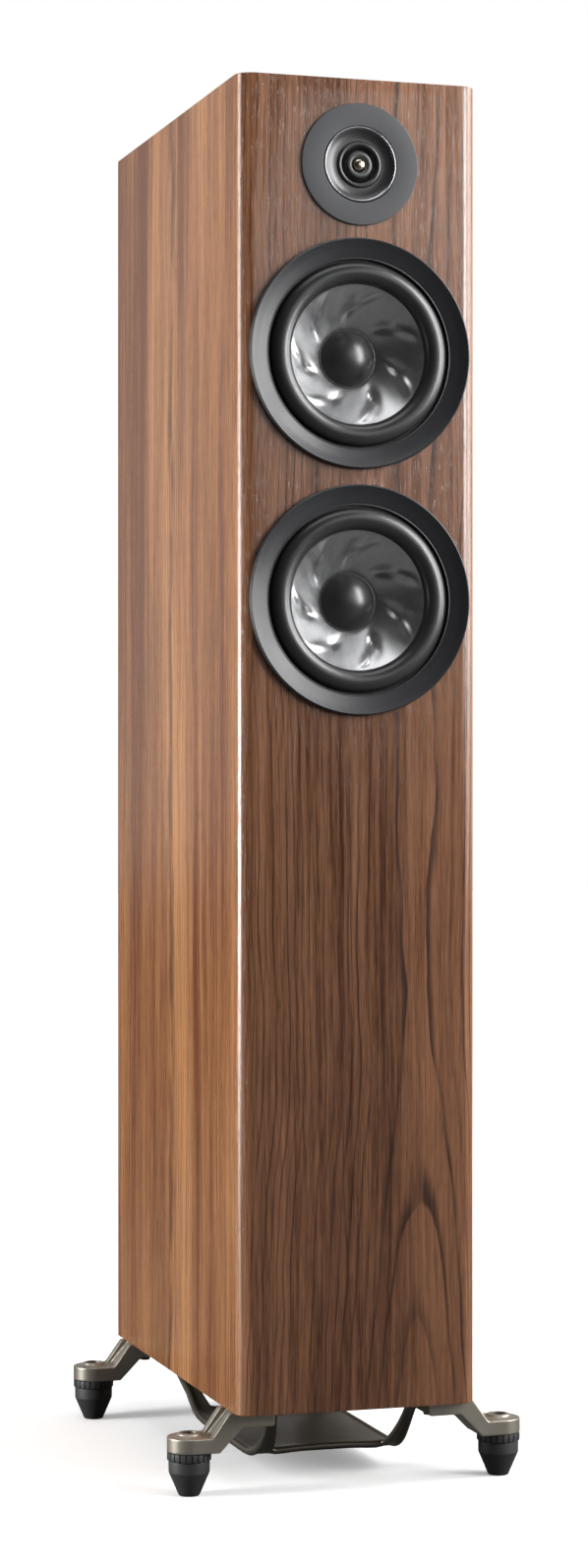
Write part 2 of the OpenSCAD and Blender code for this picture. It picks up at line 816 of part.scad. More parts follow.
terminal_cup();
terminal_posts();
terminal_screws();
post_knob(-1, "#a02020");  // red_knob
post_knob(1, "#18181a");  // black_knob
clamp_washer(-1);  // red_washer
clamp_washer(1);  // black_washer
outrigger(-1, -1);  // front_left_outrigger
outrigger(1, -1);  // front_right_outrigger
outrigger(-1, 1);  // rear_left_outrigger
outrigger(1, 1);  // rear_right_outrigger
port_diffuser();
base_screws();
foot(-1, -1);  // front_left_foot
foot(1, -1);  // front_right_foot
foot(-1, 1);  // rear_left_foot
foot(1, 1);  // rear_right_foot
spindle(-1, -1);  // front_left_spindle
spindle(1, -1);  // front_right_spindle
spindle(-1, 1);  // rear_left_spindle
spindle(1, 1);  // rear_right_spindle
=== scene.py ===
"""Looks of a walnut floorstanding speaker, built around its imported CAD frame.

Everything is in metres in the row frame: +X to the right of the baffle, +Y to the back, +Z up.
"""

import math

import bmesh
import bpy
import numpy as np
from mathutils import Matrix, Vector


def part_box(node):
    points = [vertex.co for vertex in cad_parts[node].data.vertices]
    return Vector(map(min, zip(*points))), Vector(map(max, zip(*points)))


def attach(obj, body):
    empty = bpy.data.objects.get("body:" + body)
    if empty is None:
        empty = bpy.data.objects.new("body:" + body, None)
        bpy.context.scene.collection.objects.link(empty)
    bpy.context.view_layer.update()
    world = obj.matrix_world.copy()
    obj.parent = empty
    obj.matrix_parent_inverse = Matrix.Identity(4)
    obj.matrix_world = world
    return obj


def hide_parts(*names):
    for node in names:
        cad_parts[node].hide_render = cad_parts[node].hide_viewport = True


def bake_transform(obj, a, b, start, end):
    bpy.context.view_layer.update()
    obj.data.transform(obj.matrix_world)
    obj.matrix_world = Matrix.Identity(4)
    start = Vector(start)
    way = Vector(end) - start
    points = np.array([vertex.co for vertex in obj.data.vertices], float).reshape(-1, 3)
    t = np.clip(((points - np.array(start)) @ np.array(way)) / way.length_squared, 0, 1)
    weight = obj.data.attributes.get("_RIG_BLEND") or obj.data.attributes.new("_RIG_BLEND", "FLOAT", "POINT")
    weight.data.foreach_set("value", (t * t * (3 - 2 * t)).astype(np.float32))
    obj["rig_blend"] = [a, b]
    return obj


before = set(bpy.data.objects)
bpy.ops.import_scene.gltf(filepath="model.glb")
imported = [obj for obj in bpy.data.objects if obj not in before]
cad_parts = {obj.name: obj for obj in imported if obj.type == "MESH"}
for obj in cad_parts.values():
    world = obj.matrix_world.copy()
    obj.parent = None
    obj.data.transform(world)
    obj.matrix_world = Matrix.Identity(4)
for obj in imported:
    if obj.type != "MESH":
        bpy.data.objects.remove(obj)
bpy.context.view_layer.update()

MM = 0.001
TURN = 2 * math.pi
ROOT = "cabinet"

baffle_low, baffle_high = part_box("front_baffle")
FRONT = baffle_low.y
HALF_W = baffle_high.x
BOTTOM = baffle_low.z
TOP = baffle_high.z
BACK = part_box("rear_panel")[1].y
BAFFLE_BACK = baffle_high.y
EDGE_R = 13 * MM
SOFT_EDGE = 0.7 * MM
CORNERS = (
    ("front_left", -1, -1), ("front_right", 1, -1),
    ("rear_left", -1, 1), ("rear_right", 1, 1),
)


# ---------------------------------------------------------------- mesh helpers

def new_object(name, data):
    """A new object in the scene, from a mesh, a light or a camera."""
    obj = bpy.data.objects.new(name, data)
    bpy.context.scene.collection.objects.link(obj)
    return obj


def link_mesh(name, verts, faces, angle=35):
    """A new object from points in metres, smooth except where faces meet at more than angle."""
    mesh = bpy.data.meshes.new(name)
    mesh.from_pydata([tuple(v) for v in verts], [], faces)
    obj = new_object(name, mesh)
    tidy_mesh(obj, angle)
    return obj


def tidy_mesh(obj, angle):
    """Merges doubled points, turns the faces outward and sets smooth shading."""
    bm = bmesh.new()
    bm.from_mesh(obj.data)
    bmesh.ops.remove_doubles(bm, verts=bm.verts, dist=1e-6)
    bmesh.ops.dissolve_degenerate(bm, edges=bm.edges, dist=1e-7)
    bmesh.ops.recalc_face_normals(bm, faces=bm.faces)
    bm.to_mesh(obj.data)
    bm.free()
    shade(obj, angle)


def shade(obj, angle):
    obj.data.polygons.foreach_set("use_smooth", [True] * len(obj.data.polygons))
    obj.data.set_sharp_from_angle(angle=math.radians(angle))


def finish_piece(obj, body, material, slot, *nodes):
    """Gives a piece its material and its body, and hides the CAD nodes it stands for. slot is not used."""
    obj.data.materials.clear()
    obj.data.materials.append(material)
    if "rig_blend" not in obj:
        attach(obj, body)
    if nodes:
        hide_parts(*nodes)
    return obj


def bake(obj):
    """Applies every modifier of obj."""
    bpy.context.view_layer.update()
    graph = bpy.context.evaluated_depsgraph_get()
    mesh = bpy.data.meshes.new_from_object(obj.evaluated_get(graph))
    obj.modifiers.clear()
    obj.data = mesh
    return obj


def drop(obj):
    bpy.data.objects.remove(obj)


def join(name, parts):
    """One object from several meshes."""
    bm = bmesh.new()
    for part in parts:
        bm.from_mesh(part.data)
    mesh = bpy.data.meshes.new(name)
    bm.to_mesh(mesh)
    bm.free()
    for part in parts:
        drop(part)
    return new_object(name, mesh)


def boolean(obj, cutter, operation="DIFFERENCE"):
    modifier = obj.modifiers.new("cut", "BOOLEAN")
    modifier.operation = operation
    modifier.solver = "EXACT"
    modifier.use_self = True
    modifier.object = cutter
    bake(obj)
    drop(cutter)
    return obj


def rounded(points, default=0.4, steps=4, closed=True):
    """Rounds the corners of an outline. A point is (a, b), or (a, b, radius) for its own radius."""
    out = []
    count = len(points)
    for i, point in enumerate(points):
        here = np.array(point[:2], float)
        radius = point[2] if len(point) > 2 else default
        if (not closed and i in (0, count - 1)) or radius == 0:
            out.append(tuple(here))
            continue
        before = np.array(points[i - 1][:2], float) - here
        after = np.array(points[(i + 1) % count][:2], float) - here
        reach_a, reach_b = np.linalg.norm(before), np.linalg.norm(after)
        cos = float(before @ after) / (reach_a * reach_b)
        half = math.acos(max(-1.0, min(1.0, cos))) / 2
        if half > math.radians(88):
            out.append(tuple(here))
            continue
        cut = min(radius / math.tan(half), reach_a * 0.48, reach_b * 0.48)
        start = here + before / reach_a * cut
        end = here + after / reach_b * cut
        for k in range(steps + 1):
            t = k / steps
            out.append(tuple((1 - t) ** 2 * start + 2 * t * (1 - t) * here + t * t * end))
    return out


def flowing(points, steps=6):
    """A Catmull-Rom curve through a few points."""
    pts = [np.array(p, float) for p in points]
    pts = [2 * pts[0] - pts[1]] + pts + [2 * pts[-1] - pts[-2]]
    out = []
    for i in range(1, len(pts) - 2):
        a, b, c, d = pts[i - 1:i + 3]
        for k in range(steps):
            t = k / steps
            out.append(tuple(0.5 * (2 * b + (c - a) * t + (2 * a - 5 * b + 4 * c - d) * t * t
                                    + (3 * b - a - 3 * c + d) * t ** 3)))
    out.append(tuple(pts[-2]))
    return out


def ahead_of(axis):
    """Places local (a, b, h), in mm, so that h runs forward out of the baffle from a driver's axis."""
    return lambda a, b, h: (axis.x + a * MM, FRONT - h * MM, axis.z + b * MM)


def above(x, y):
    """Places local (a, b, h), in mm, on an upright axis at (x, y), with h above the floor."""
    return lambda a, b, h: (x + a * MM, y + b * MM, h * MM)


def between(i, k, count):
    """Faces between loops number i and k, each a closed loop of count points."""
    a, b = i * count, k * count
    return [(a + j, a + (j + 1) % count, b + (j + 1) % count, b + j) for j in range(count)]


def closed_skin(name, loops, angle):
    """A surface through loops of points that closes on itself both ways, like a tyre."""
    rows, count = len(loops), len(loops[0])
    faces = []
    for i in range(rows):
        faces += between(i, (i + 1) % rows, count)
    return link_mesh(name, [v for loop in loops for v in loop], faces, angle)


def revolve(name, profile, place, steps=128, angle=35):
    """A solid of revolution from a closed outline of (radius, height) points in mm."""
    loops = []
    for i in range(steps):
        c, s = math.cos(TURN * i / steps), math.sin(TURN * i / steps)
        loops.append([place(r * c, r * s, h) for r, h in profile])
    return closed_skin(name, loops, angle)


def loft(name, loops, angle=35):
    """A closed solid through loops of points, capped at both ends."""
    count = len(loops[0])
    verts = [v for loop in loops for v in loop]
    faces = [tuple(range(count)), tuple(range(len(verts) - count, len(verts)))]
    for i in range(len(loops) - 1):
        faces += between(i, i + 1, count)
    return link_mesh(name, verts, faces, angle)


def prism(name, outline, place, low, high, angle=35):
    """A straight solid from a closed outline, between two heights."""
    return loft(name, [[place(a, b, h) for a, b in outline] for h in (low, high)], angle)


# ------------------------------------------------------------ material helpers

class Shader:
    """Builds one node material."""

    def __init__(self, name):
        self.material = bpy.data.materials.new(name)
        self.material.use_nodes = True
        self.tree = self.material.node_tree
        self.surface = self.tree.nodes["Principled BSDF"]
        self.place = self.add("TexCoord").outputs["Object"]

    def add(self, kind, **settings):
        node = self.tree.nodes.new("ShaderNode" + kind)
        for key, value in settings.items():
            setattr(node, key, value)
        return node

    def feed(self, socket, value):
        if isinstance(value, bpy.types.NodeSocket):
            self.tree.links.new(value, socket)
        elif socket.type == "RGBA" and len(value) == 3:
            socket.default_value = (*value, 1)
        else:
            socket.default_value = value

    def set(self, **inputs):
        for key, value in inputs.items():
            self.feed(self.surface.inputs[key.replace("_", " ")], value)

    def math(self, operation, a, b=0.0, c=0.0):
        node = self.add("Math", operation=operation)
        for socket, value in zip(node.inputs, (a, b, c)):
            self.feed(socket, value)
        return node.outputs[0]

    def plus(self, a, b):
        return self.math("ADD", a, b)

    def minus(self, a, b):
        return self.math("SUBTRACT", a, b)

    def times(self, a, b):
        return self.math("MULTIPLY", a, b)

    def about(self, axis):
        """Across, up and radial distance of the point from a driver's axis."""
        split = self.add("SeparateXYZ")
        self.feed(split.inputs[0], self.place)
        a = self.minus(split.outputs[0], axis.x)
        b = self.minus(split.outputs[2], axis.z)
        square = self.plus(self.times(a, a), self.times(b, b))
        return a, b, self.math("SQRT", square)

    def vector(self, x, y, z):
        node = self.add("CombineXYZ")
        for socket, value in zip(node.inputs, (x, y, z)):
            self.feed(socket, value)
        return node.outputs[0]

    def scaled(self, vector, scale):
        node = self.add("Mapping")
        self.feed(node.inputs["Vector"], vector)
        self.feed(node.inputs["Scale"], scale)
        return node.outputs[0]

    def noise(self, vector, scale, detail=2.0, rough=0.5):
        node = self.add("TexNoise")
        self.feed(node.inputs["Vector"], vector)
        self.feed(node.inputs["Scale"], scale)
        self.feed(node.inputs["Detail"], detail)
        self.feed(node.inputs["Roughness"], rough)
        return node.outputs["Fac"]

    def span(self, value, low, high, out_low=0.0, out_high=1.0, smooth=True):
        """Maps value from low..high to out_low..out_high, clamped."""
        node = self.add("MapRange", interpolation_type="SMOOTHSTEP" if smooth else "LINEAR")
        for socket, v in zip(node.inputs, (value, low, high, out_low, out_high)):
            self.feed(socket, v)
        return node.outputs[0]

    def mix(self, share, a, b, blend="MIX"):
        node = self.add("Mix", data_type="RGBA", blend_type=blend)
        self.feed(node.inputs[0], share)
        self.feed(node.inputs[6], a)
        self.feed(node.inputs[7], b)
        return node.outputs[2]

    def bump(self, height, distance, strength=1.0, normal=None):
        node = self.add("Bump")
        self.feed(node.inputs["Height"], height)
        self.feed(node.inputs["Distance"], distance)
        self.feed(node.inputs["Strength"], strength)
        if normal is not None:
            self.feed(node.inputs["Normal"], normal)
        return node.outputs[0]


def grained(name, color, rough, metal=0.0, grain=900.0, depth=0.02, spread=0.06, tint=0.12,
            specular=0.5, coat=0.0):
    """A moulded, cast, painted or rubber surface: fine grain, broad unevenness and slight wear.

    grain is the grain's frequency per metre, depth its height in mm, spread the change in
    roughness and tint the change in colour.
    """
    s = Shader(name)
    fine = s.noise(s.place, grain, 3)
    broad = s.noise(s.place, 28, 4, 0.6)
    worn = s.span(s.add("NewGeometry").outputs["Pointiness"], 0.52, 0.62)
    light = [min(1.0, c * (1 + tint) + 0.004) for c in color]
    dark = [c * (1 - tint) for c in color]
    base = s.mix(broad, dark, light)
    base = s.mix(s.times(worn, 0.35), base, [min(1.0, c * 1.5 + 0.01) for c in color])
    s.set(
        Base_Color=base,
        Metallic=metal,
        Roughness=s.plus(s.span(broad, 0.3, 0.7, rough - spread, rough + spread), s.times(fine, spread)),
        Specular_IOR_Level=specular,
        Coat_Weight=coat,
        Coat_Roughness=0.08,
        Normal=s.bump(fine, depth * MM, 0.6),
    )
    return s.material


def walnut():
    """Open-pored walnut veneer whose grain runs up the cabinet and wraps round its front edges."""
    s = Shader("walnut")
    split = s.add("SeparateXYZ")
    s.feed(split.inputs[0], s.place)
    x, y, z = split.outputs
    facing = s.add("SeparateXYZ")
    s.feed(facing.inputs[0], s.add("NewGeometry").outputs["Normal"])
    sideways = s.span(s.math("ABSOLUTE", facing.outputs[0]), 0.60, 0.98)
    upward = s.math("GREATER_THAN", s.math("ABSOLUTE", facing.outputs[2]), 0.8)
    rear = s.math("GREATER_THAN", facing.outputs[1], 0.8)
    # plain marks the sides, top and back: they get straight rings here, and below they also get the lighter
    # colours that are painted light
    plain = s.math("MAXIMUM", s.math("MAXIMUM", sideways, upward), rear)
    fancy = s.minus(1.0, plain)

    # The distance across the veneer, unrolled from the middle of the front round each edge; the
    # back and the top are cut from other stretches of it
    back_shift, top_shift = 1.7, 2.3
    turned = s.times(s.math("SIGN", x), s.minus(y, FRONT))
    flat = s.minus(1.0, s.math("MAXIMUM", upward, rear))
    u = s.plus(x, s.times(turned, flat))
    u = s.plus(u, s.times(rear, back_shift))
    v = s.plus(s.times(z, s.minus(1.0, upward)), s.times(s.plus(y, top_shift), upward))

    def grain(across, along, seed, detail=2.0, rough=0.5, drift=None):
        """Noise stretched along the grain, given by its frequencies per metre, about zero."""
        base = u if drift is None else drift
        point = s.vector(s.times(base, across), s.times(v, along), seed)
        return s.minus(s.noise(point, 1.0, detail, rough), 0.5)

    drifted = s.plus(u, s.times(grain(9, 2.2, 3.1), 0.022))

    # Growth rings cut flat, so that they close into arches right of the middle, low on the front
    heart_u, core, rings_across = 0.047, 0.062, 205
    arch_top, rings_up = 0.34, 8.1
    heart = s.plus(s.minus(u, heart_u), s.times(grain(4, 5, 6.2), 0.020))
    far = s.math("SQRT", s.plus(s.times(heart, heart), core ** 2))
    bowl = s.times(s.minus(far, core), rings_across)
    low = s.minus(arch_top, s.math("SMOOTH_MAX", s.minus(arch_top, v), 0.0, 0.08))
    swell = s.plus(s.times(grain(11, 4, 7.7, 2, 0.5), 1.35), s.times(grain(60, 12, 2.7, 2), 0.22))
    arches = s.plus(s.plus(bowl, s.times(low, rings_up)), s.plus(swell, 0.02))
    # Quarter-cut veneer elsewhere: narrow straight rings
    straight = s.plus(s.times(drifted, 175), s.times(swell, 1.6))
    rings = s.plus(s.times(arches, fancy), s.times(straight, plain))
    ring = s.math("FRACT", rings)
    year = s.add("TexWhiteNoise", noise_dimensions="1D")
    s.feed(year.inputs["W"], s.math("FLOOR", rings))
    strong = s.span(year.outputs["Value"], 0.0, 0.9, 0.45, 1.0)
    line = s.times(s.span(ring, 0.0, 0.04), s.span(ring, 0.06, 0.30, 1.0, 0.0))
    broken = s.span(grain(90, 9, 1.3, 3, 0.6), -0.18, 0.10, 0.38)
    line = s.times(s.times(line, strong), broken)

    broad = grain(13, 0.7, 15.0, 2, 0.5, drifted)
    broad = s.times(broad, s.span(plain, 0, 1, 0.9, 2.5))
    bands = grain(30, 0.8, 0.4, 3, 0.6, drifted)
    streaks = grain(210, 3.2, 5.0, 4, 0.70, drifted)
    fibres = grain(760, 20, 2.0, 2, 0.6, drifted)
    specks = grain(1500, 60, 4.0, 2, 0.6)
    tone = 0.5
    for part, weight in ((broad, 0.9), (bands, 1.25), (streaks, 1.3), (fibres, 1.0), (specks, 0.7)):
        tone = s.plus(tone, s.times(part, weight))
    within = s.math("ABSOLUTE", s.minus(ring, 0.55))
    tone = s.minus(tone, s.times(within, 0.10))
    tone = s.span(tone, 0.06, 0.98, smooth=False)
    pore = s.span(grain(2100, 70, 9.0), 0.10, 0.20)
    hair = s.span(grain(420, 1.8, 8.0, 3, 0.6, drifted), 0.09, 0.20)

    # A dark flame of wavy heartwood up the middle of each side
    flame_y = s.plus(0.010, s.times(grain(0.1, 5.5, 11.0, 2), 0.030))
    flame_d = s.math("ABSOLUTE", s.minus(y, flame_y))
    flame_w = s.plus(0.013, s.times(grain(30, 9, 12.0, 2), 0.036))
    flame = s.times(s.span(s.math("DIVIDE", flame_d, flame_w), 0.1, 1.0, 1.0, 0.0), sideways)
    flame = s.times(flame, s.span(grain(60, 8, 13.0, 3, 0.65), -0.14, 0.08, 0.25))

    # Painted light: the sides, top and back are the same veneer as the front, but their colours here and
    # their dark marks below are lighter, as if a lamp at the left lit them
    front = s.mix(tone, (0.058, 0.0185, 0.0055), (0.290, 0.129, 0.065))
    side = s.mix(tone, (0.128, 0.038, 0.0105), (0.440, 0.205, 0.082))
    wood = s.mix(plain, front, side)
    dark = s.mix(plain, (0.022, 0.0075, 0.0035), (0.075, 0.024, 0.008))
    wood = s.mix(s.times(line, s.span(plain, 0, 1, 0.88, 0.55)), wood, dark)
    wood = s.mix(s.times(hair, 0.42), wood, dark)
    wood = s.mix(s.times(flame, 0.85), wood, dark)
    wood = s.mix(s.times(pore, 0.36), wood, dark)

    relief = s.minus(s.times(fibres, 0.6), s.times(pore, 0.8))
    s.set(
        Base_Color=wood,
        Roughness=s.plus(s.span(streaks, -0.2, 0.2, 0.22, 0.33), s.times(upward, 0.3)),
        Specular_IOR_Level=s.minus(0.66, s.times(upward, 0.45)),
        Normal=s.bump(relief, 0.085 * MM, 0.7),
    )
    return s.material


def cone_material(name, axis):
    """Filled polypropylene with a metallic sheen and flow marks that fan out from the middle."""
    s = Shader(name)
    a, b, radius = s.about(axis)
    warp = s.noise(s.place, 55, 3, 0.6)
    twist = s.plus(s.times(radius, 9.0), s.times(warp, 0.5))
    angle = s.plus(s.math("ARCTAN2", b, a), twist)
    # A ring of noise has no seam where the angle starts again
    around = s.vector(s.math("COSINE", angle), s.math("SINE", angle), s.times(radius, 14))
    flow = s.noise(around, 7, 3, 0.6)
    fine = s.noise(around, 34, 3, 0.65)
    speck = s.noise(s.place, 1500, 2)
    shade_of = s.plus(s.times(flow, 0.6), s.times(fine, 0.4))
    s.set(
        Base_Color=s.mix(s.span(shade_of, 0.34, 0.66), (0.52, 0.523, 0.53), (0.62, 0.625, 0.635)),
        Metallic=0.96,
        Roughness=s.span(shade_of, 0.35, 0.65, 0.30, 0.35),
        Normal=s.bump(s.plus(s.times(shade_of, 0.9), s.times(speck, 0.1)),
                      0.016 * MM, 0.40),
    )
    return s.material


def spun_metal(name, color, rough, axis):
    """Turned metal with fine rings about a driver's axis."""
    s = Shader(name)
    radius = s.about(axis)[2]
    rings = s.noise(s.vector(s.times(radius, 5200), 0.0, 0.0), 1.0, 3, 0.7)
    smudge = s.noise(s.place, 60, 3)
    s.set(
        Base_Color=s.mix(smudge, [c * 0.86 for c in color], color),
        Metallic=1.0,
        Roughness=s.span(rings, 0.3, 0.7, rough - 0.05, rough + 0.07),
        Normal=s.bump(rings, 0.01 * MM, 0.5),
    )
    return s.material


def cloth(name, color):
    """Woven, resin-treated cloth or loose fill."""
    s = Shader(name)
    weave = s.add("TexWave", wave_type="BANDS", bands_direction="X")
    s.feed(weave.inputs["Vector"], s.place)
    s.feed(weave.inputs["Scale"], 500.0)
    cross = s.add("TexWave", wave_type="BANDS", bands_direction="Z")
    s.feed(cross.inputs["Vector"], s.place)
    s.feed(cross.inputs["Scale"], 500.0)
    threads = s.times(weave.outputs["Fac"], cross.outputs["Fac"])
    s.set(
        Base_Color=s.mix(threads, [c * 0.6 for c in color], color),
        Roughness=0.9,
        Normal=s.bump(threads, 0.1 * MM, 0.7),
    )
    return s.material


# ------------------------------------------------------------------- materials

M = {
    "walnut": walnut(),
    "raw_board": grained("raw_board", (0.42, 0.30, 0.19), 0.8, grain=420, depth=0.1, tint=0.2),
    "port_plastic": grained("port_plastic", (0.020, 0.020, 0.021), 0.42, depth=0.02),
    "wadding": cloth("wadding", (0.74, 0.71, 0.64)),
    "faceplate": grained("faceplate", (0.062, 0.063, 0.067), 0.50, metal=0.35, grain=2600, depth=0.03,
                         spread=0.04, tint=0.05),
    "trim_ring": grained("trim_ring", (0.017, 0.0175, 0.020), 0.37, grain=2600, depth=0.02,
                         spread=0.03, tint=0.05, specular=0.55),
    "basket": grained("basket", (0.012, 0.012, 0.013), 0.5, grain=1800, depth=0.03),
    "rubber": grained("rubber", (0.017, 0.0172, 0.018), 0.31, grain=2200, depth=0.012,
                      spread=0.03, tint=0.06, specular=0.7),
    "cap_gloss": grained("cap_gloss", (0.050, 0.050, 0.052), 0.32, metal=0.6, grain=1500, depth=0.004,
                         spread=0.03, tint=0.05, specular=1.0),
    "tweeter_film": grained("tweeter_film", (0.022, 0.022, 0.024), 0.37, grain=2500, depth=0.005,
                            spread=0.03, tint=0.05, specular=0.8),
    "copper": grained("copper", (0.62, 0.27, 0.12), 0.3, metal=1.0, grain=1600, depth=0.03),
    "spider_cloth": cloth("spider_cloth", (0.62, 0.38, 0.13)),
    "ferrite": grained("ferrite", (0.055, 0.055, 0.058), 0.6, grain=1200, depth=0.05),
    "steel": grained("steel", (0.45, 0.45, 0.46), 0.32, metal=1.0, grain=1800, depth=0.02),
    "black_steel": grained("black_steel", (0.022, 0.022, 0.024), 0.34, metal=0.6, grain=1800,
                           depth=0.02),
    "board_green": grained("board_green", (0.03, 0.14, 0.06), 0.35, grain=500, depth=0.02),
    "capacitor": grained("capacitor", (0.03, 0.07, 0.26), 0.25, grain=300, depth=0.02, coat=0.3),
    "ceramic": grained("ceramic", (0.68, 0.66, 0.61), 0.7, grain=900, depth=0.06),
    "wire": grained("wire", (0.35, 0.03, 0.025), 0.4, grain=700, depth=0.03),
    "cup_plastic": grained("cup_plastic", (0.018, 0.018, 0.019), 0.46, grain=1500, depth=0.05),
    "gold": grained("gold", (0.83, 0.60, 0.24), 0.22, metal=1.0, grain=1500, depth=0.01),
    "knob_red": grained("knob_red", (0.36, 0.014, 0.012), 0.2, grain=600, depth=0.01, coat=0.6),
    "knob_black": grained("knob_black", (0.012, 0.012, 0.013), 0.2, grain=600, depth=0.01, coat=0.6),
    "cast_alloy": grained("cast_alloy", (0.370, 0.338, 0.284), 0.35, metal=0.85, grain=1700, depth=0.06,
                          spread=0.05, tint=0.08),
    "tray_alloy": grained("tray_alloy", (0.165, 0.147, 0.120), 0.29, metal=0.8, grain=1700, depth=0.03,
                          spread=0.05, tint=0.1),
    "foot_rubber": grained("foot_rubber", (0.024, 0.0245, 0.025), 0.50, grain=1600, depth=0.05,
                           spread=0.05, tint=0.1),
}

PLAIN_NODES = {
    "raw_board": ("cabinet_braces",),
    "port_plastic": ("port_tube",),
    "wadding": ("damping_wadding",),
    "ferrite": ("tweeter_motor", "upper_magnet", "lower_magnet"),
    "black_steel": ("tweeter_screws", "woofer_screws", "terminal_screws", "base_screws"),
    "basket": ("upper_basket", "lower_basket"),
    "copper": ("upper_voice_coil", "lower_voice_coil", "crossover_inductors"),
    "spider_cloth": ("upper_spider", "lower_spider"),
    "steel": ("upper_yoke", "lower_yoke"),
    "board_green": ("crossover_board",),
    "capacitor": ("crossover_capacitors",),
    "ceramic": ("crossover_resistors",),
    "wire": ("internal_wiring",),
    "gold": ("terminal_posts", "red_washer", "black_washer"),
}


def dress_cad_nodes():
    """CAD nodes whose shape is right keep it and get a better material."""
    for key, names in PLAIN_NODES.items():
        for name in names:
            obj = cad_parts[name]
            obj.data.materials.clear()
            obj.data.materials.append(M[key])


# --------------------------------------------------------------------- cabinet

def outward_bevel(obj):
    """Softens the edges that lie on two outer faces of the cabinet."""
    def planes(co):
        return {
            name for name, gap in (
                ("side", abs(abs(co.x) - HALF_W)), ("back", abs(co.y - BACK)),
                ("top", abs(co.z - TOP)), ("bottom", abs(co.z - BOTTOM)), ("front", abs(co.y - FRONT)),
            ) if gap < 1e-5
        }

    bm = bmesh.new()
    bm.from_mesh(obj.data)
    edges = [e for e in bm.edges if len(planes(e.verts[0].co) & planes(e.verts[1].co)) == 2]
    bmesh.ops.bevel(bm, geom=edges, offset=SOFT_EDGE, segments=3, profile=0.5, affect="EDGES")
    bm.to_mesh(obj.data)
    bm.free()
    shade(obj, 30)
    return obj


def panel(name):
    """One wooden panel, the size of its CAD node."""
    low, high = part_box(name)
    outline = [(low.x, low.y), (high.x, low.y), (high.x, high.y), (low.x, high.y)]
    obj = prism(name + "_veneer", outline, lambda a, b, h: (a, b, h), low.z, high.z)
    return outward_bevel(obj)


def driver_cutter(name, place, steps):
    """A stepped plug that cuts one driver's seat and hole through the baffle.

    steps holds the seat's radius and height and the hole's radius.
    """
    seat_r, seat_h, hole_r = steps
    through = (FRONT - BAFFLE_BACK) / MM - 5
    around, clear = 96, 20
    turns = [TURN * i / around for i in range(around)]
    return loft(name, [
        [place(r * math.cos(t), r * math.sin(t), h) for t in turns]
        for r, h in ((seat_r, clear), (seat_r, seat_h), (hole_r, seat_h), (hole_r, through))])


def baffle():
    """Front board with two rounded upright edges and three stepped driver holes."""
    arc_steps = 12
    outline = []
    for side in (-1, 1):
        arc = []
        for k in range(arc_steps + 1):
            t = math.pi / 2 * k / arc_steps
            arc.append((side * (HALF_W - EDGE_R + EDGE_R * math.sin(t)),
                        FRONT + EDGE_R - EDGE_R * math.cos(t)))
        arc.append((side * HALF_W, BAFFLE_BACK))
        outline += arc[::-1] if side < 0 else arc
    loops = []
    depth = BAFFLE_BACK - FRONT
    for z, inset in ((BOTTOM, 1.0), (BOTTOM + SOFT_EDGE * 0.3, 0.3), (BOTTOM + SOFT_EDGE, 0.0),
                     (TOP - SOFT_EDGE, 0.0), (TOP - SOFT_EDGE * 0.3, 0.3), (TOP, 1.0)):
        shrink = inset * SOFT_EDGE
        loops.append([(a * (1 - shrink / HALF_W), b + shrink * (BAFFLE_BACK - b) / depth, z)
                      for a, b in outline])
    obj = loft("front_baffle_veneer", loops, 25)
    for name, steps in (("tweeter_faceplate", (47.05, -4, 36)),
                        ("upper_trim_ring", (86.2, -8, 73)), ("lower_trim_ring", (86.2, -8, 73))):
        boolean(obj, driver_cutter("cutter_" + name, ahead_of(axis_of(name)), steps))
    shade(obj, 25)
    return obj


def axis_of(node):
    low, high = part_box(node)
    return Vector(((low.x + high.x) / 2, FRONT, (low.z + high.z) / 2))


def build_cabinet():
    finish_piece(baffle(), ROOT, M["walnut"], "walnut", "front_baffle")
    for name in ("left_side_panel", "right_side_panel", "top_panel", "bottom_panel"):
        finish_piece(panel(name), ROOT, M["walnut"], "walnut", name)
    finish_piece(rear_panel(), ROOT, M["walnut"], "walnut", "rear_panel")


def rear_panel():
    """Rear board with the opening for the terminal cup and a fine V-groove round its edge."""
    low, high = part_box("rear_panel")
    groove = 0.6 * MM
    outline = [(low.x, low.z), (high.x, low.z), (high.x, high.z), (low.x, high.z)]
    small = [(a - math.copysign(groove, a), b + (groove if b == low.z else -groove)) for a, b in outline]
    loops = [[(a, low.y, b) for a, b in outline], [(a, high.y - groove, b) for a, b in outline],
             [(a, high.y, b) for a, b in small]]
    obj = loft("rear_panel_veneer", loops, 20)
    cup_low, cup_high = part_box("terminal_cup")
    mid_z = (cup_low.z + cup_high.z) / 2
    half_a, half_b, clear = 35.5 * MM, 42.5 * MM, 10 * MM
    boolean(obj, prism("cup_hole", [(-half_a, mid_z - half_b), (half_a, mid_z - half_b),
                                    (half_a, mid_z + half_b), (-half_a, mid_z + half_b)],
                       lambda a, b, h: (a, h, b), low.y - clear, high.y + clear))
    shade(obj, 20)
    return obj


# --------------------------------------------------------------------- tweeter

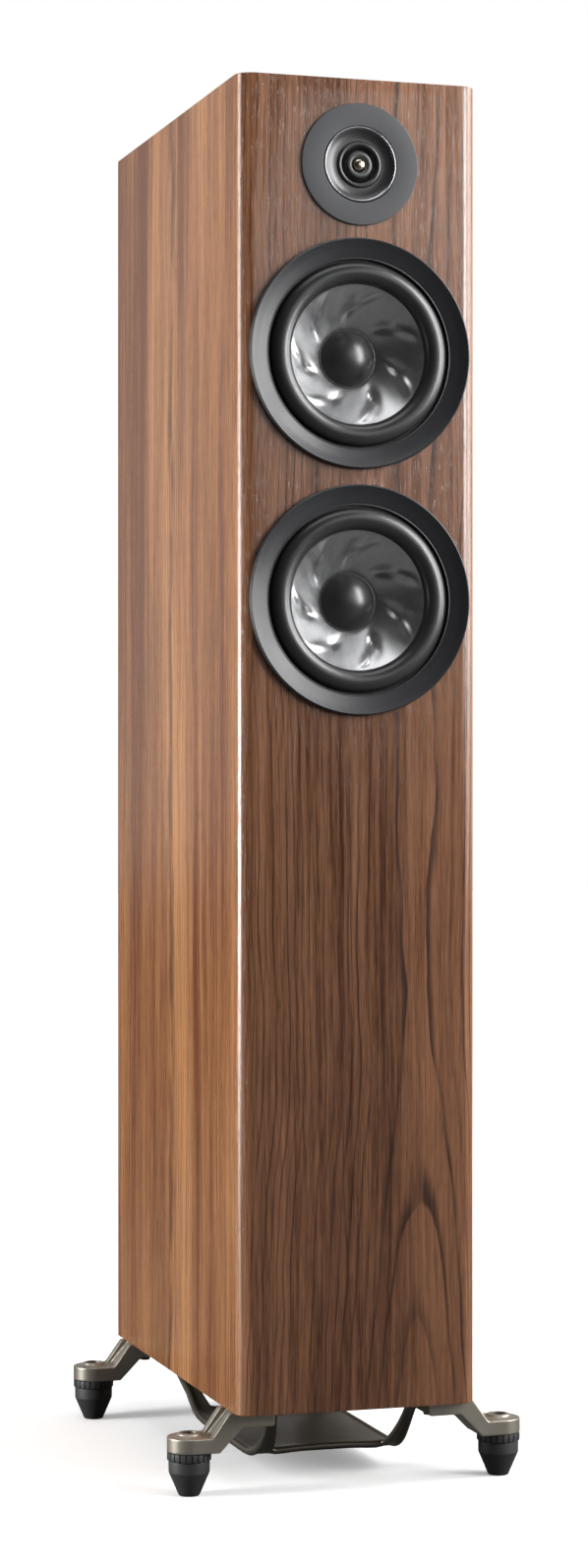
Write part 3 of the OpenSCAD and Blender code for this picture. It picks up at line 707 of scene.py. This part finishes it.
def build_tweeter():
    axis = axis_of("tweeter_faceplate")
    place = ahead_of(axis)
    bright = spun_metal("bright_edge", (0.34, 0.34, 0.36), 0.24, axis)
    plate = revolve("tweeter_plate", rounded([
        (29.05, -1.5, 0.2), (47, -1.5, 0.3), (47, 2.2, 0.6), (29.6, 2.2, 0.5)], steps=5), place, 192)
    finish_piece(plate, ROOT, M["faceplate"], "faceplate", "tweeter_faceplate")
    dish_top = flowing([(26.6, 1.35), (24.6, 0.35), (22.4, -0.35), (20.2, -0.75), (18.6, -0.85)], 5)
    dish = revolve("tweeter_dish", rounded([(27.0, 1.0, 0), (27.0, 1.5, 0.2)], steps=3, closed=False)
                   + dish_top + [(18.2, -0.9), (17.9, -1.6), (18.0, -6), (34, -6), (34, -4), (45.8, -4),
                                 (45.8, -1.5), (29.0, -1.5), (29.0, 1.0)], place, 192, 40)
    finish_piece(dish, ROOT, M["rubber"], "waveguide", "tweeter_waveguide")
    ring = revolve("tweeter_edge_ring", rounded([
        (27.05, 1.0, 0.1), (29.0, 1.0, 0.1), (29.0, 2.3, 0.5), (28.3, 2.75, 0.6), (27.05, 1.7, 0.4)],
        steps=5), place, 192)
    finish_piece(ring, ROOT, bright, "waveguide")
    bead = revolve("tweeter_throat_ring", [
        (16.1 + 1.75 * math.cos(t), -0.65 + 1.3 * math.sin(t))
        for t in (TURN * k / 20 for k in range(20))], place, 160)
    finish_piece(bead, ROOT, M["rubber"], "waveguide")
    film = 0.4
    crest = flowing([(4.95, -3.0), (5.5, -1.2), (6.9, 0.25), (8.4, 0.45), (9.9, 0.0), (11.2, -1.9),
                     (12.2, -4.0), (14.0, -5.2), (15.6, -4.4), (16.4, -3.2), (16.75, -2.6)], 6)
    under = [(r + (0.1 if r < 8.4 else -0.1), h - film) for r, h in reversed(crest)]
    rings = revolve("tweeter_ring_film", crest + under, place, 160, 60)
    finish_piece(rings, "tweeter_dome_body", M["tweeter_film"], "tweeter_film", "tweeter_diaphragm")
    plug_metal = spun_metal("plug_metal", (0.62, 0.56, 0.44), 0.2, axis)
    nose = flowing([(4.7, -1.4), (4.35, 0.0), (3.2, 1.0), (1.7, 1.5), (0.6, 1.65), (0.0, 1.68)], 5)
    plug = revolve("tweeter_plug", [(0.0, -8), (4.7, -8)] + nose, place, 96)
    finish_piece(plug, ROOT, plug_metal, "phase_plug", "tweeter_phase_plug")


# --------------------------------------------------------------------- woofers

CONE_R = 55.0
CAP_R = 22.5
DIMPLES = 7
FIRST_DIMPLE = math.radians(29)


def cone_depth(r):
    """Height of the plain cone at a radius, in mm ahead of the baffle."""
    share = np.clip((CONE_R - r) / (CONE_R - CAP_R), 0, 2)
    return -4.0 - 26.4 * share ** 0.94


def swirl(a, b):
    """Lift of the seven swirled dimples at a point of the cone, in mm."""
    lift = np.zeros_like(a)
    for k in range(DIMPLES):
        turn = FIRST_DIMPLE + TURN * k / DIMPLES
        for share, shift, along, across, height in (
            (0.660, 12, 7.0, 3.7, -3.1), (0.845, -5, 7.4, 2.9, 1.8), (0.80, 10, 5.8, 3.1, -0.9),
        ):
            spot = turn + math.radians(shift)
            heading = spot - math.radians(48)
            da = a - share * CONE_R * math.cos(spot)
            db = b - share * CONE_R * math.sin(spot)
            s = (da * math.cos(heading) + db * math.sin(heading)) / along
            t = (-da * math.sin(heading) + db * math.cos(heading)) / across
            t = t + 0.28 * s * s
            lift += height * np.exp(-s * s - t * t)
    radius = np.hypot(a, b)
    edge = np.clip((CONE_R - radius) / 4.5, 0, 1) * np.clip((radius - CAP_R - 0.5) / 4.0, 0, 1)
    return lift * edge * edge * (3 - 2 * edge)


def cone(name, place):
    """Thin swirl-dimpled cone, closed at its rim and at its neck."""
    around, rings = 336, 64
    radii = np.concatenate([[19.5, 20.6], np.linspace(CAP_R - 0.8, CONE_R + 0.8, rings)])
    turns = np.arange(around) * TURN / around
    verts, faces = [], []
    skin = 0.8
    for under in (0.0, skin):
        for r in radii:
            a, b = r * np.cos(turns), r * np.sin(turns)
            depth = cone_depth(min(r, CONE_R)) - under * (0.6 if r > CONE_R - 1 else 1.25)
            h = depth + swirl(a, b)
            verts += [place(*p) for p in zip(a, b, h)]
    layers = len(radii)
    for i in [*range(layers - 1), *range(layers, 2 * layers - 1)]:
        faces += between(i, i + 1, around)
    for i in (0, layers - 1):
        faces += between(i, layers + i, around)
    return link_mesh(name, verts, faces, 60)


def surround(name, place, axis, moving_body):
    """Half-roll rubber surround; its inner foot follows the cone and its outer foot stays."""
    mid, half, base, skin = 63.0, 8.4, -4.0, 1.0
    top = [(54.2, base + 0.55), (54.55, base + 0.95)]
    top += [(mid - half * math.cos(t), base + 0.5 + 7.6 * math.sin(t) ** 0.92)
            for t in (math.pi * k / 26 for k in range(2, 25))]
    top += [(71.5, base + 0.9), (72.4, base + 0.62), (74.8, base + 0.6)]
    low = [(74.8, base + 0.02), (70.9, base + 0.02)]
    low += [(mid + (half - skin) * math.cos(t), base + 0.1 + (7.6 - skin) * math.sin(t))
            for t in (math.pi * k / 20 for k in range(2, 19))]
    low += [(55.6, base + 0.02), (54.2, base + 0.02)]
    obj = revolve(name, top + low, place, 192, 60)
    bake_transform(obj, ROOT, moving_body, start=tuple(axis), end=(axis.x, axis.y, axis.z + 0.01))
    # The roll stretches along each radius: its weight grows from the outer foot to the inner one
    points = np.array([v.co for v in obj.data.vertices], float)
    radius = np.hypot(points[:, 0] - axis.x, points[:, 2] - axis.z) / MM
    share = np.clip((71.6 - radius) / (71.6 - 55.6), 0, 1)
    weight = share * share * (3 - 2 * share)
    obj.data.attributes["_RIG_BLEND"].data.foreach_set("value", weight.astype(np.float32))
    return obj


def build_woofer(which):
    axis = axis_of(which + "_trim_ring")
    place = ahead_of(axis)
    moving = which + "_cone_body"
    flare = flowing([(87.2, 4.75), (85.4, 3.75), (82.0, 2.15), (78.2, 0.75), (75.4, -0.25),
                     (74.3, -0.62)], 5)
    rim = rounded([(73.2, -1.7, 0.1), (85.4, -1.7, 0.1), (85.5, 0, 0), (89, 0, 0.15), (89, 4.2, 0.9),
                   (88.0, 5.05, 0.8)], steps=5, closed=False)
    lip = [(74.0, -0.45), (73.6, -0.40), (73.25, -0.62)]
    ring = revolve(which + "_ring", rim + flare + lip, place, 224, 40)
    finish_piece(ring, ROOT, M["trim_ring"], "trim_ring", which + "_trim_ring")

    roll = surround(which + "_roll", place, axis, moving)
    finish_piece(roll, moving, M["rubber"], "surround_rubber", which + "_surround")

    skin = cone(which + "_swirl_cone", place)
    finish_piece(skin, moving, cone_material(which + "_cone_skin", axis), "cone", which + "_cone")

    base, rise = -29.6, 11.0
    ball = (CAP_R ** 2 + rise ** 2) / (2 * rise)
    reach = math.asin(CAP_R / ball)
    rows = 28
    slopes = [reach * (1 - k / rows) for k in range(1, rows + 1)]
    dome = [(ball * math.sin(t), base + rise - ball + ball * math.cos(t)) for t in slopes]
    hollow = [(r, h - 0.8) for r, h in reversed(dome)]
    edge = [(22.0, base - 0.3), (22.9, base - 0.2), (23.05, base + 0.25), (22.8, base + 0.62),
            (22.45, base + 0.55)]
    cap = revolve(which + "_cap", [(r, h) for r, h in hollow if r < 21.6] + edge + dome, place, 160, 50)
    finish_piece(cap, moving, M["cap_gloss"], "dust_cap", which + "_dust_cap")


# ------------------------------------------------------------------------ base

def placed_corner(side, end):
    """Local (out, back, up) in mm of a right-hand front corner, mirrored to any corner."""
    return lambda a, b, h: (side * a * MM, -end * b * MM, h * MM)


def bar(name, outline, place, low, high):
    """A solid whose outline lies in the upright plane across the speaker, from low to high depth."""
    return loft(name, [[place(a, d, h) for a, h in outline] for d in (low, high)])


def cast_smooth(obj, voxel, rounds):
    """Turns a rough assembly of solids into one casting with soft edges and fillets."""
    remesh = obj.modifiers.new("remesh", "REMESH")
    remesh.mode = "VOXEL"
    remesh.voxel_size = voxel * MM
    bake(obj)
    smooth = obj.modifiers.new("smooth", "SMOOTH")
    smooth.factor = 0.5
    smooth.iterations = rounds
    bake(obj)
    shade(obj, 60)
    return obj


foot_low, foot_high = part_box("front_right_foot")
FOOT_X = (foot_low.x + foot_high.x) / 2 / MM
FOOT_Y = (foot_low.y + foot_high.y) / 2 / MM
PAD_TOP = 45.5
PAD_BOTTOM = 34.0
ARM_HALF = 17.25
UNDERSIDE = BOTTOM / MM


def outrigger(corner, side, end):
    """Cast arm: a flange under the cabinet, a channelled slope and a rounded pad."""
    place = placed_corner(side, end)
    mid = FOOT_Y
    groove_half = 9.3
    web = [(63, 53), (65, 52.3), (89, 52.3), (107, PAD_BOTTOM), (FOOT_X, PAD_BOTTOM), (FOOT_X, PAD_TOP),
           (115, PAD_TOP), (110, PAD_TOP - 1.0), (97, 59.5), (93, UNDERSIDE), (63, UNDERSIDE)]
    ridge = [(63, 53), (65, 52.3), (89, 52.3), (107, PAD_BOTTOM), (FOOT_X, PAD_BOTTOM),
             (FOOT_X, PAD_TOP), (112.5, PAD_TOP), (99.6, UNDERSIDE - 0.4), (98.4, UNDERSIDE),
             (63, UNDERSIDE)]
    parts = [bar("web", web, place, mid - ARM_HALF, mid + ARM_HALF)]
    for low, high in ((mid - ARM_HALF, mid - groove_half), (mid + groove_half, mid + ARM_HALF)):
        parts.append(bar("ridge", ridge, place, low, high))
    around = 64
    disc = [(math.cos(TURN * i / around), math.sin(TURN * i / around)) for i in range(around)]

    def drum(r, low, high):
        return prism("drum", [(r * c, r * s) for c, s in disc],
                     lambda a, b, h: place(FOOT_X + a, mid + b, h), low, high)

    parts.append(drum(ARM_HALF, PAD_BOTTOM, PAD_TOP))
    parts.append(drum(9.4, PAD_TOP - 1, PAD_TOP + 2.7))
    parts.append(drum(11.6, PAD_TOP - 1, PAD_TOP + 0.9))
    obj = cast_smooth(join(corner + "_arm", parts), 0.62, 5)
    boolean(obj, drum(6.0, PAD_BOTTOM - 5, PAD_TOP + 8))
    shade(obj, 50)
    return finish_piece(obj, ROOT, M["cast_alloy"], "cast_alloy", corner + "_outrigger")


def foot(corner, side, end):
    """Rubber foot, its notched wheel and the threaded spindle with a hex socket."""
    x, y = side * FOOT_X * MM, -end * FOOT_Y * MM
    place = above(x, y)
    sole = rounded([(0.0, 0.0, 0), (8.0, 0.0, 1.6), (15.9, 18.3, 3.0), (16.0, 27.25, 0.7),
                    (6.3, 27.25, 0.3), (6.3, 9, 0), (0.0, 9, 0)], steps=6)
    pad = revolve(corner + "_rubber", sole, place, 128, 40)
    finish_piece(pad, corner + "_foot_body", M["foot_rubber"], "foot_rubber", corner + "_foot")

    notches, r_out, r_in = 22, 17.1, 16.15
    tooth = ((0.00, r_in), (0.10, r_in), (0.16, r_out), (0.50, r_out + 0.05), (0.94, r_out), (1.0, r_in))
    outline = [(r, TURN * (i + share) / notches) for i in range(notches) for share, r in tooth]
    loops = []
    for h, shrink in ((27.45, 0.6), (27.8, 0.12), (28.2, 0.0), (33.0, 0.0), (33.45, 0.12), (33.75, 0.6)):
        loops.append([place((r - shrink) * math.cos(t), (r - shrink) * math.sin(t), h)
                      for r, t in outline])
    wheel = loft(corner + "_wheel", loops, 35)
    finish_piece(wheel, corner + "_spindle_body", M["foot_rubber"], "spindle_steel", corner + "_spindle")

    stem = threaded_stem(corner, place)
    finish_piece(stem, corner + "_spindle_body", M["black_steel"], "spindle_steel")


def threaded_stem(corner, place):
    """Stem with a real helical thread and a hex socket in its top end."""
    pitch, r_root, r_crest = 1.5, 4.35, 4.95
    low, high, around, rows = 33.0, 47.3, 48, 96
    r_end = 3.9
    loops = [[place(r_end * math.cos(TURN * i / around), r_end * math.sin(TURN * i / around), low)
              for i in range(around)]]
    for k in range(rows + 1):
        h = low + (high - low) * k / rows
        loop = []
        for i in range(around):
            wave = abs(((h / pitch - i / around) % 1.0) * 2 - 1)
            fade = min(1.0, (high - h) / 0.9)
            r = r_root + (r_crest - r_root) * wave * fade
            loop.append(place(r * math.cos(TURN * i / around), r * math.sin(TURN * i / around), h))
        loops.append(loop)

    def hexagon(r, h):
        out = []
        for i in range(around):
            t = TURN * i / around
            flat = math.cos(math.pi / 6) / math.cos((t % (math.pi / 3)) - math.pi / 6)
            out.append(place(r * flat * math.cos(t), r * flat * math.sin(t), h))
        return out

    loops += [hexagon(3.3, high), hexagon(3.0, high - 0.3), hexagon(2.95, high - 4.5)]
    return loft(corner + "_stem", loops, 40)


def build_base():
    for corner, side, end in CORNERS:
        outrigger(corner, side, end)
        foot(corner, side, end)
    diffuser()


def rod(name, points, radius, around=14):
    """A round rod through points in mm given as (across, depth, height), closed at both ends."""
    path = [Vector(p) for p in points]
    loops = []
    last = len(path) - 1
    for i, p in enumerate(path):
        ahead = (path[min(i + 1, last)] - path[max(i - 1, 0)]).normalized()
        level = ahead.cross(Vector((0.3, 0.5, 0.81))).normalized()
        upright = ahead.cross(level)
        loops.append([tuple((p + radius * (math.cos(t) * level + math.sin(t) * upright)) * MM)
                      for t in (TURN * k / around for k in range(around))])
    return loft(name, loops)


def diffuser():
    """Tray under the port: a floor and two curved ramps, each opened by a wide rimmed mouth."""
    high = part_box("port_diffuser")[1]
    half_x = high.x / MM
    top_y = high.y / MM
    mouth_z = 19.0
    sheet = 4.4
    # Side profiles as (depth from the middle, height), from the end of a ramp to the middle: the
    # front ramp is steep, the rear one long and flat
    front_ramp = flowing([(top_y, UNDERSIDE), (top_y - 6, 53.0), (top_y - 17, 38.5), (top_y - 31, 26.0),
                          (top_y - 46, 19.0), (top_y - 62, 16.4), (50, 15.9), (0, 15.9)], 6)
    rear_ramp = flowing([(top_y, UNDERSIDE), (top_y - 6, 51.0), (top_y - 18, 42.0), (top_y - 36, 35.5),
                         (top_y - 55, 29.5), (top_y - 70, 23.5), (top_y - 86, 18.3), (40, 15.9),
                         (0, 15.9)], 6)
    path = [(-d, h) for d, h in front_ramp] + [(d, h) for d, h in reversed(rear_ramp[:-1])]

    def drop_share(h):
        return np.clip((UNDERSIDE - h) / (UNDERSIDE - 16), 0, 1)

    def half_mouth(h):
        return 55 - 9 * drop_share(h) ** 1.3

    def half_width(h):
        return half_x - 2.4 - 2.0 * math.sin(math.pi * drop_share(h))

    verts, faces, index = [], [], {}
    across = 8
    for i, (d, h) in enumerate(path):
        wide, inner = half_width(h), half_mouth(h)
        outer = [-wide, -(0.6 * wide + 0.4 * inner), -inner]
        middle = [inner * (-1 + 2 * k / across) for k in range(1, across)]
        for j, x in enumerate(outer + middle + [-x for x in reversed(outer)]):
            index[i, j] = len(verts)
            verts.append((x * MM, d * MM, h * MM))
    columns = across + 4
    for i in range(len(path) - 1):
        opened = min(path[i][1], path[i + 1][1]) > mouth_z
        for j in range(columns):
            if opened and 2 <= j < columns - 2:
                continue
            faces.append((index[i, j], index[i, j + 1], index[i + 1, j + 1], index[i + 1, j]))
    tray = link_mesh("tray_sheet", verts, faces, 60)
    solid = tray.modifiers.new("solid", "SOLIDIFY")
    solid.thickness = sheet * MM
    solid.offset = 0.0
    solid.use_even_offset = True
    bake(tray)
    parts = [tray]

    # A thick rounded rim along both long edges, and a raised bead round each mouth
    for side in (-1, 1):
        edge = [(side * half_width(h), d, h) for d, h in path if h < UNDERSIDE - 3.5]
        parts.append(rod("tray_rim", edge, 3.3))
    for end, ramp in ((-1, front_ramp), (1, rear_ramp)):
        leg = [(half_mouth(h) + 1.5, end * d, h) for d, h in ramp if mouth_z < h < UNDERSIDE - 3.5]
        lip_y = leg[-1][1] - end * 1.0
        turn = half_mouth(mouth_z) - 5
        lip = [(turn * (1 - 2 * k / 12), lip_y, mouth_z - 0.6 + 1.6 * math.sin(math.pi * k / 12))
               for k in range(13)]
        bead = leg + lip + [(-x, y, h) for x, y, h in reversed(leg)]
        parts.append(rod("tray_bead", bead, 2.9))
    obj = cast_smooth(join("diffuser_tray", parts), 0.95, 4)
    # Nothing may stand above the cabinet's underside
    for v in obj.data.vertices:
        v.co.z = min(v.co.z, BOTTOM - 0.05 * MM)
    shade(obj, 40)
    finish_piece(obj, ROOT, M["tray_alloy"], "tray_alloy", "port_diffuser")


# ------------------------------------------------------------------- terminals

def rounded_box(half_a, half_b, r, steps=6):
    out = []
    for sa, sb, start in ((1, 1, 0), (-1, 1, 1), (-1, -1, 2), (1, -1, 3)):
        for k in range(steps + 1):
            t = (start + k / steps) * math.pi / 2
            out.append((sa * (half_a - r) + r * math.cos(t), sb * (half_b - r) + r * math.sin(t)))
    return out


def build_terminals():
    low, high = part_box("terminal_cup")
    mid_z = (low.z + high.z) / 2
    half_a, half_b = (high.x - low.x) / 2 / MM, (high.z - low.z) / 2 / MM
    face = high.y

    def ring(a, b, r, depth):
        return [(p * MM, face - depth * MM, mid_z + q * MM) for p, q in rounded_box(a, b, r)]

    # From the tub's outer bottom up to the flange, over its rim and down into the recess
    cup = loft("terminal_tub", [
        ring(33, 40, 2, 29.9), ring(35, 42, 3, 29.5), ring(35, 42, 3, 2.6),
        ring(half_a, half_b, 5, 2.55), ring(half_a, half_b, 5, 0.8),
        ring(half_a - 0.3, half_b - 0.3, 5, 0.25),
        ring(half_a - 0.9, half_b - 0.9, 4.6, 0.0), ring(34.5, 41.5, 5, 0.0), ring(33.9, 40.9, 5, 0.2),
        ring(33.2, 40.2, 5, 1.0), ring(31, 38, 5, 26.5), ring(29.5, 36.5, 4, 27.8),
        ring(20, 26, 4, 28.0)])
    finish_piece(cup, ROOT, M["cup_plastic"], "terminal_plastic", "terminal_cup")
    for name, side, key in (("red", -1, "knob_red"), ("black", 1, "knob_black")):
        knob_low, knob_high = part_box(name + "_knob")
        x = (knob_low.x + knob_high.x) / 2
        length = (knob_high.y - knob_low.y) / MM
        around, ribs = 216, 18

        def round_loop(radius, depth, grip):
            out = []
            for i in range(around):
                t = TURN * i / around
                r = radius - grip * (0.5 + 0.5 * math.cos(ribs * t)) ** 3 * 0.75
                out.append((x + r * math.cos(t) * MM, knob_low.y + depth * MM,
                            mid_z + r * math.sin(t) * MM))
            return out

        loops = [round_loop(3.1, 0.02, 0), round_loop(7.2, 0.02, 0), round_loop(7.9, 0.4, 0),
                 round_loop(8.2, 1.2, 0), round_loop(8.2, 3.0, 0), round_loop(7.6, 3.4, 0),
                 round_loop(7.6, 4.0, 0), round_loop(8.35, 4.5, 0.4), round_loop(8.45, 5.4, 1.0),
                 round_loop(8.45, length - 2.2, 1.0), round_loop(8.2, length - 1.0, 0.8),
                 round_loop(7.6, length - 0.3, 0.3), round_loop(6.8, length, 0),
                 round_loop(3.6, length, 0), round_loop(3.1, length - 0.5, 0)]
        knob = closed_skin(name + "_grip", loops, 40)
        finish_piece(knob, name + "_knob_body", M[key], key, name + "_knob")


# ----------------------------------------------------------------------- stage

CAMERA_AT = Vector((-0.7821, -2.5469, 0.5539))
CAMERA_YAW = math.radians(17.189)
LENS = 73.909
SHIFT_Y = -0.00556


def build_stage():
    floor = bpy.data.meshes.new("floor")
    reach = 12.0
    corners = [(-reach, -reach, 0), (reach, -reach, 0), (reach, reach, 0), (-reach, reach, 0)]
    floor.from_pydata(corners, [], [(0, 1, 2, 3)])
    obj = new_object("floor", floor)
    s = Shader("pale_floor")
    reach_out = s.add("VectorMath", operation="LENGTH")
    s.feed(reach_out.inputs[0], s.place)
    glow = s.span(reach_out.outputs["Value"], 0.5, 2.0, 0.26, 1.0)
    # The glossy parts mirror a darker floor than the one in view
    in_view = s.add("LightPath").outputs["Is Camera Ray"]
    s.set(
        Base_Color=s.mix(in_view, (0.07, 0.07, 0.07), (0.86, 0.86, 0.86)),
        Roughness=0.7, Specular_IOR_Level=0.2, Emission_Color=(1, 1, 1),
        Emission_Strength=s.times(glow, in_view),
    )
    floor.materials.append(s.material)

    def area(name, at, aim, size, power, color=(1, 1, 1)):
        data = bpy.data.lights.new(name, "AREA")
        data.shape = "RECTANGLE"
        data.size, data.size_y = size
        data.energy = power
        data.color = color
        light = new_object(name, data)
        light.location = at
        light.rotation_euler = (Vector(aim) - Vector(at)).to_track_quat("-Z", "Y").to_euler()

    # A bright strip at the front right, softer boxes on both sides of it, a tall strip beyond the
    # left side with a small fill, and a weak overhead box
    area("right_strip", (1.78, -1.80, 1.58), (0, FRONT, 0.85), (0.60, 1.9), 78)
    area("right_softbox", (2.13, -0.78, 1.40), (0, FRONT, 0.80), (0.9, 1.8), 40)
    area("right_side", (1.95, -0.15, 1.60), (0, FRONT, 0.85), (0.9, 2.0), 30)
    area("front_box", (1.35, -3.40, 1.75), (0, FRONT, 0.9), (1.6, 1.3), 10)
    area("left_strip", (-2.4, 0.15, 0.70), (-0.1, 0, 0.6), (0.70, 2.4), 80)
    area("left_fill", (-2.2, -0.05, 0.52), (-0.1, 0, 0.5), (0.5, 0.5), 29)
    area("overhead", (0.1, -0.3, 3.0), (0, 0, 0.5), (2.2, 2.0), 32)

    world = bpy.data.worlds.new("studio")
    bpy.context.scene.world = world
    world.use_nodes = True
    tree = world.node_tree
    nodes, links = tree.nodes, tree.links
    nodes.clear()
    out = nodes.new("ShaderNodeOutputWorld")
    seen = nodes.new("ShaderNodeBackground")
    seen.inputs["Color"].default_value = (1, 1, 1, 1)
    seen.inputs["Strength"].default_value = 1.0
    felt = nodes.new("ShaderNodeBackground")
    direction = nodes.new("ShaderNodeNewGeometry")
    split = nodes.new("ShaderNodeSeparateXYZ")
    links.new(direction.outputs["Incoming"], split.inputs[0])
    ramp = nodes.new("ShaderNodeMapRange")
    # Incoming points from the sky to the object: the paper behind the speaker is bright
    ramp.inputs["From Min"].default_value = -0.35
    ramp.inputs["From Max"].default_value = 0.35
    ramp.inputs["To Min"].default_value = 0.45
    ramp.inputs["To Max"].default_value = 0.035
    links.new(split.outputs[1], ramp.inputs["Value"])
    links.new(ramp.outputs[0], felt.inputs["Strength"])
    path = nodes.new("ShaderNodeLightPath")
    mixer = nodes.new("ShaderNodeMixShader")
    links.new(path.outputs["Is Camera Ray"], mixer.inputs[0])
    links.new(felt.outputs[0], mixer.inputs[1])
    links.new(seen.outputs[0], mixer.inputs[2])
    links.new(mixer.outputs[0], out.inputs["Surface"])

    data = bpy.data.cameras.new("camera")
    data.lens = LENS
    data.shift_y = SHIFT_Y
    data.clip_end = 100
    camera = new_object("camera", data)
    camera.location = CAMERA_AT
    camera.rotation_euler = (math.radians(90), 0, -CAMERA_YAW)
    bpy.context.scene.camera = camera
    bpy.context.scene.view_settings.view_transform = "Standard"


dress_cad_nodes()
build_cabinet()
build_tweeter()
for which in ("upper", "lower"):
    build_woofer(which)
build_base()
build_terminals()
build_stage()
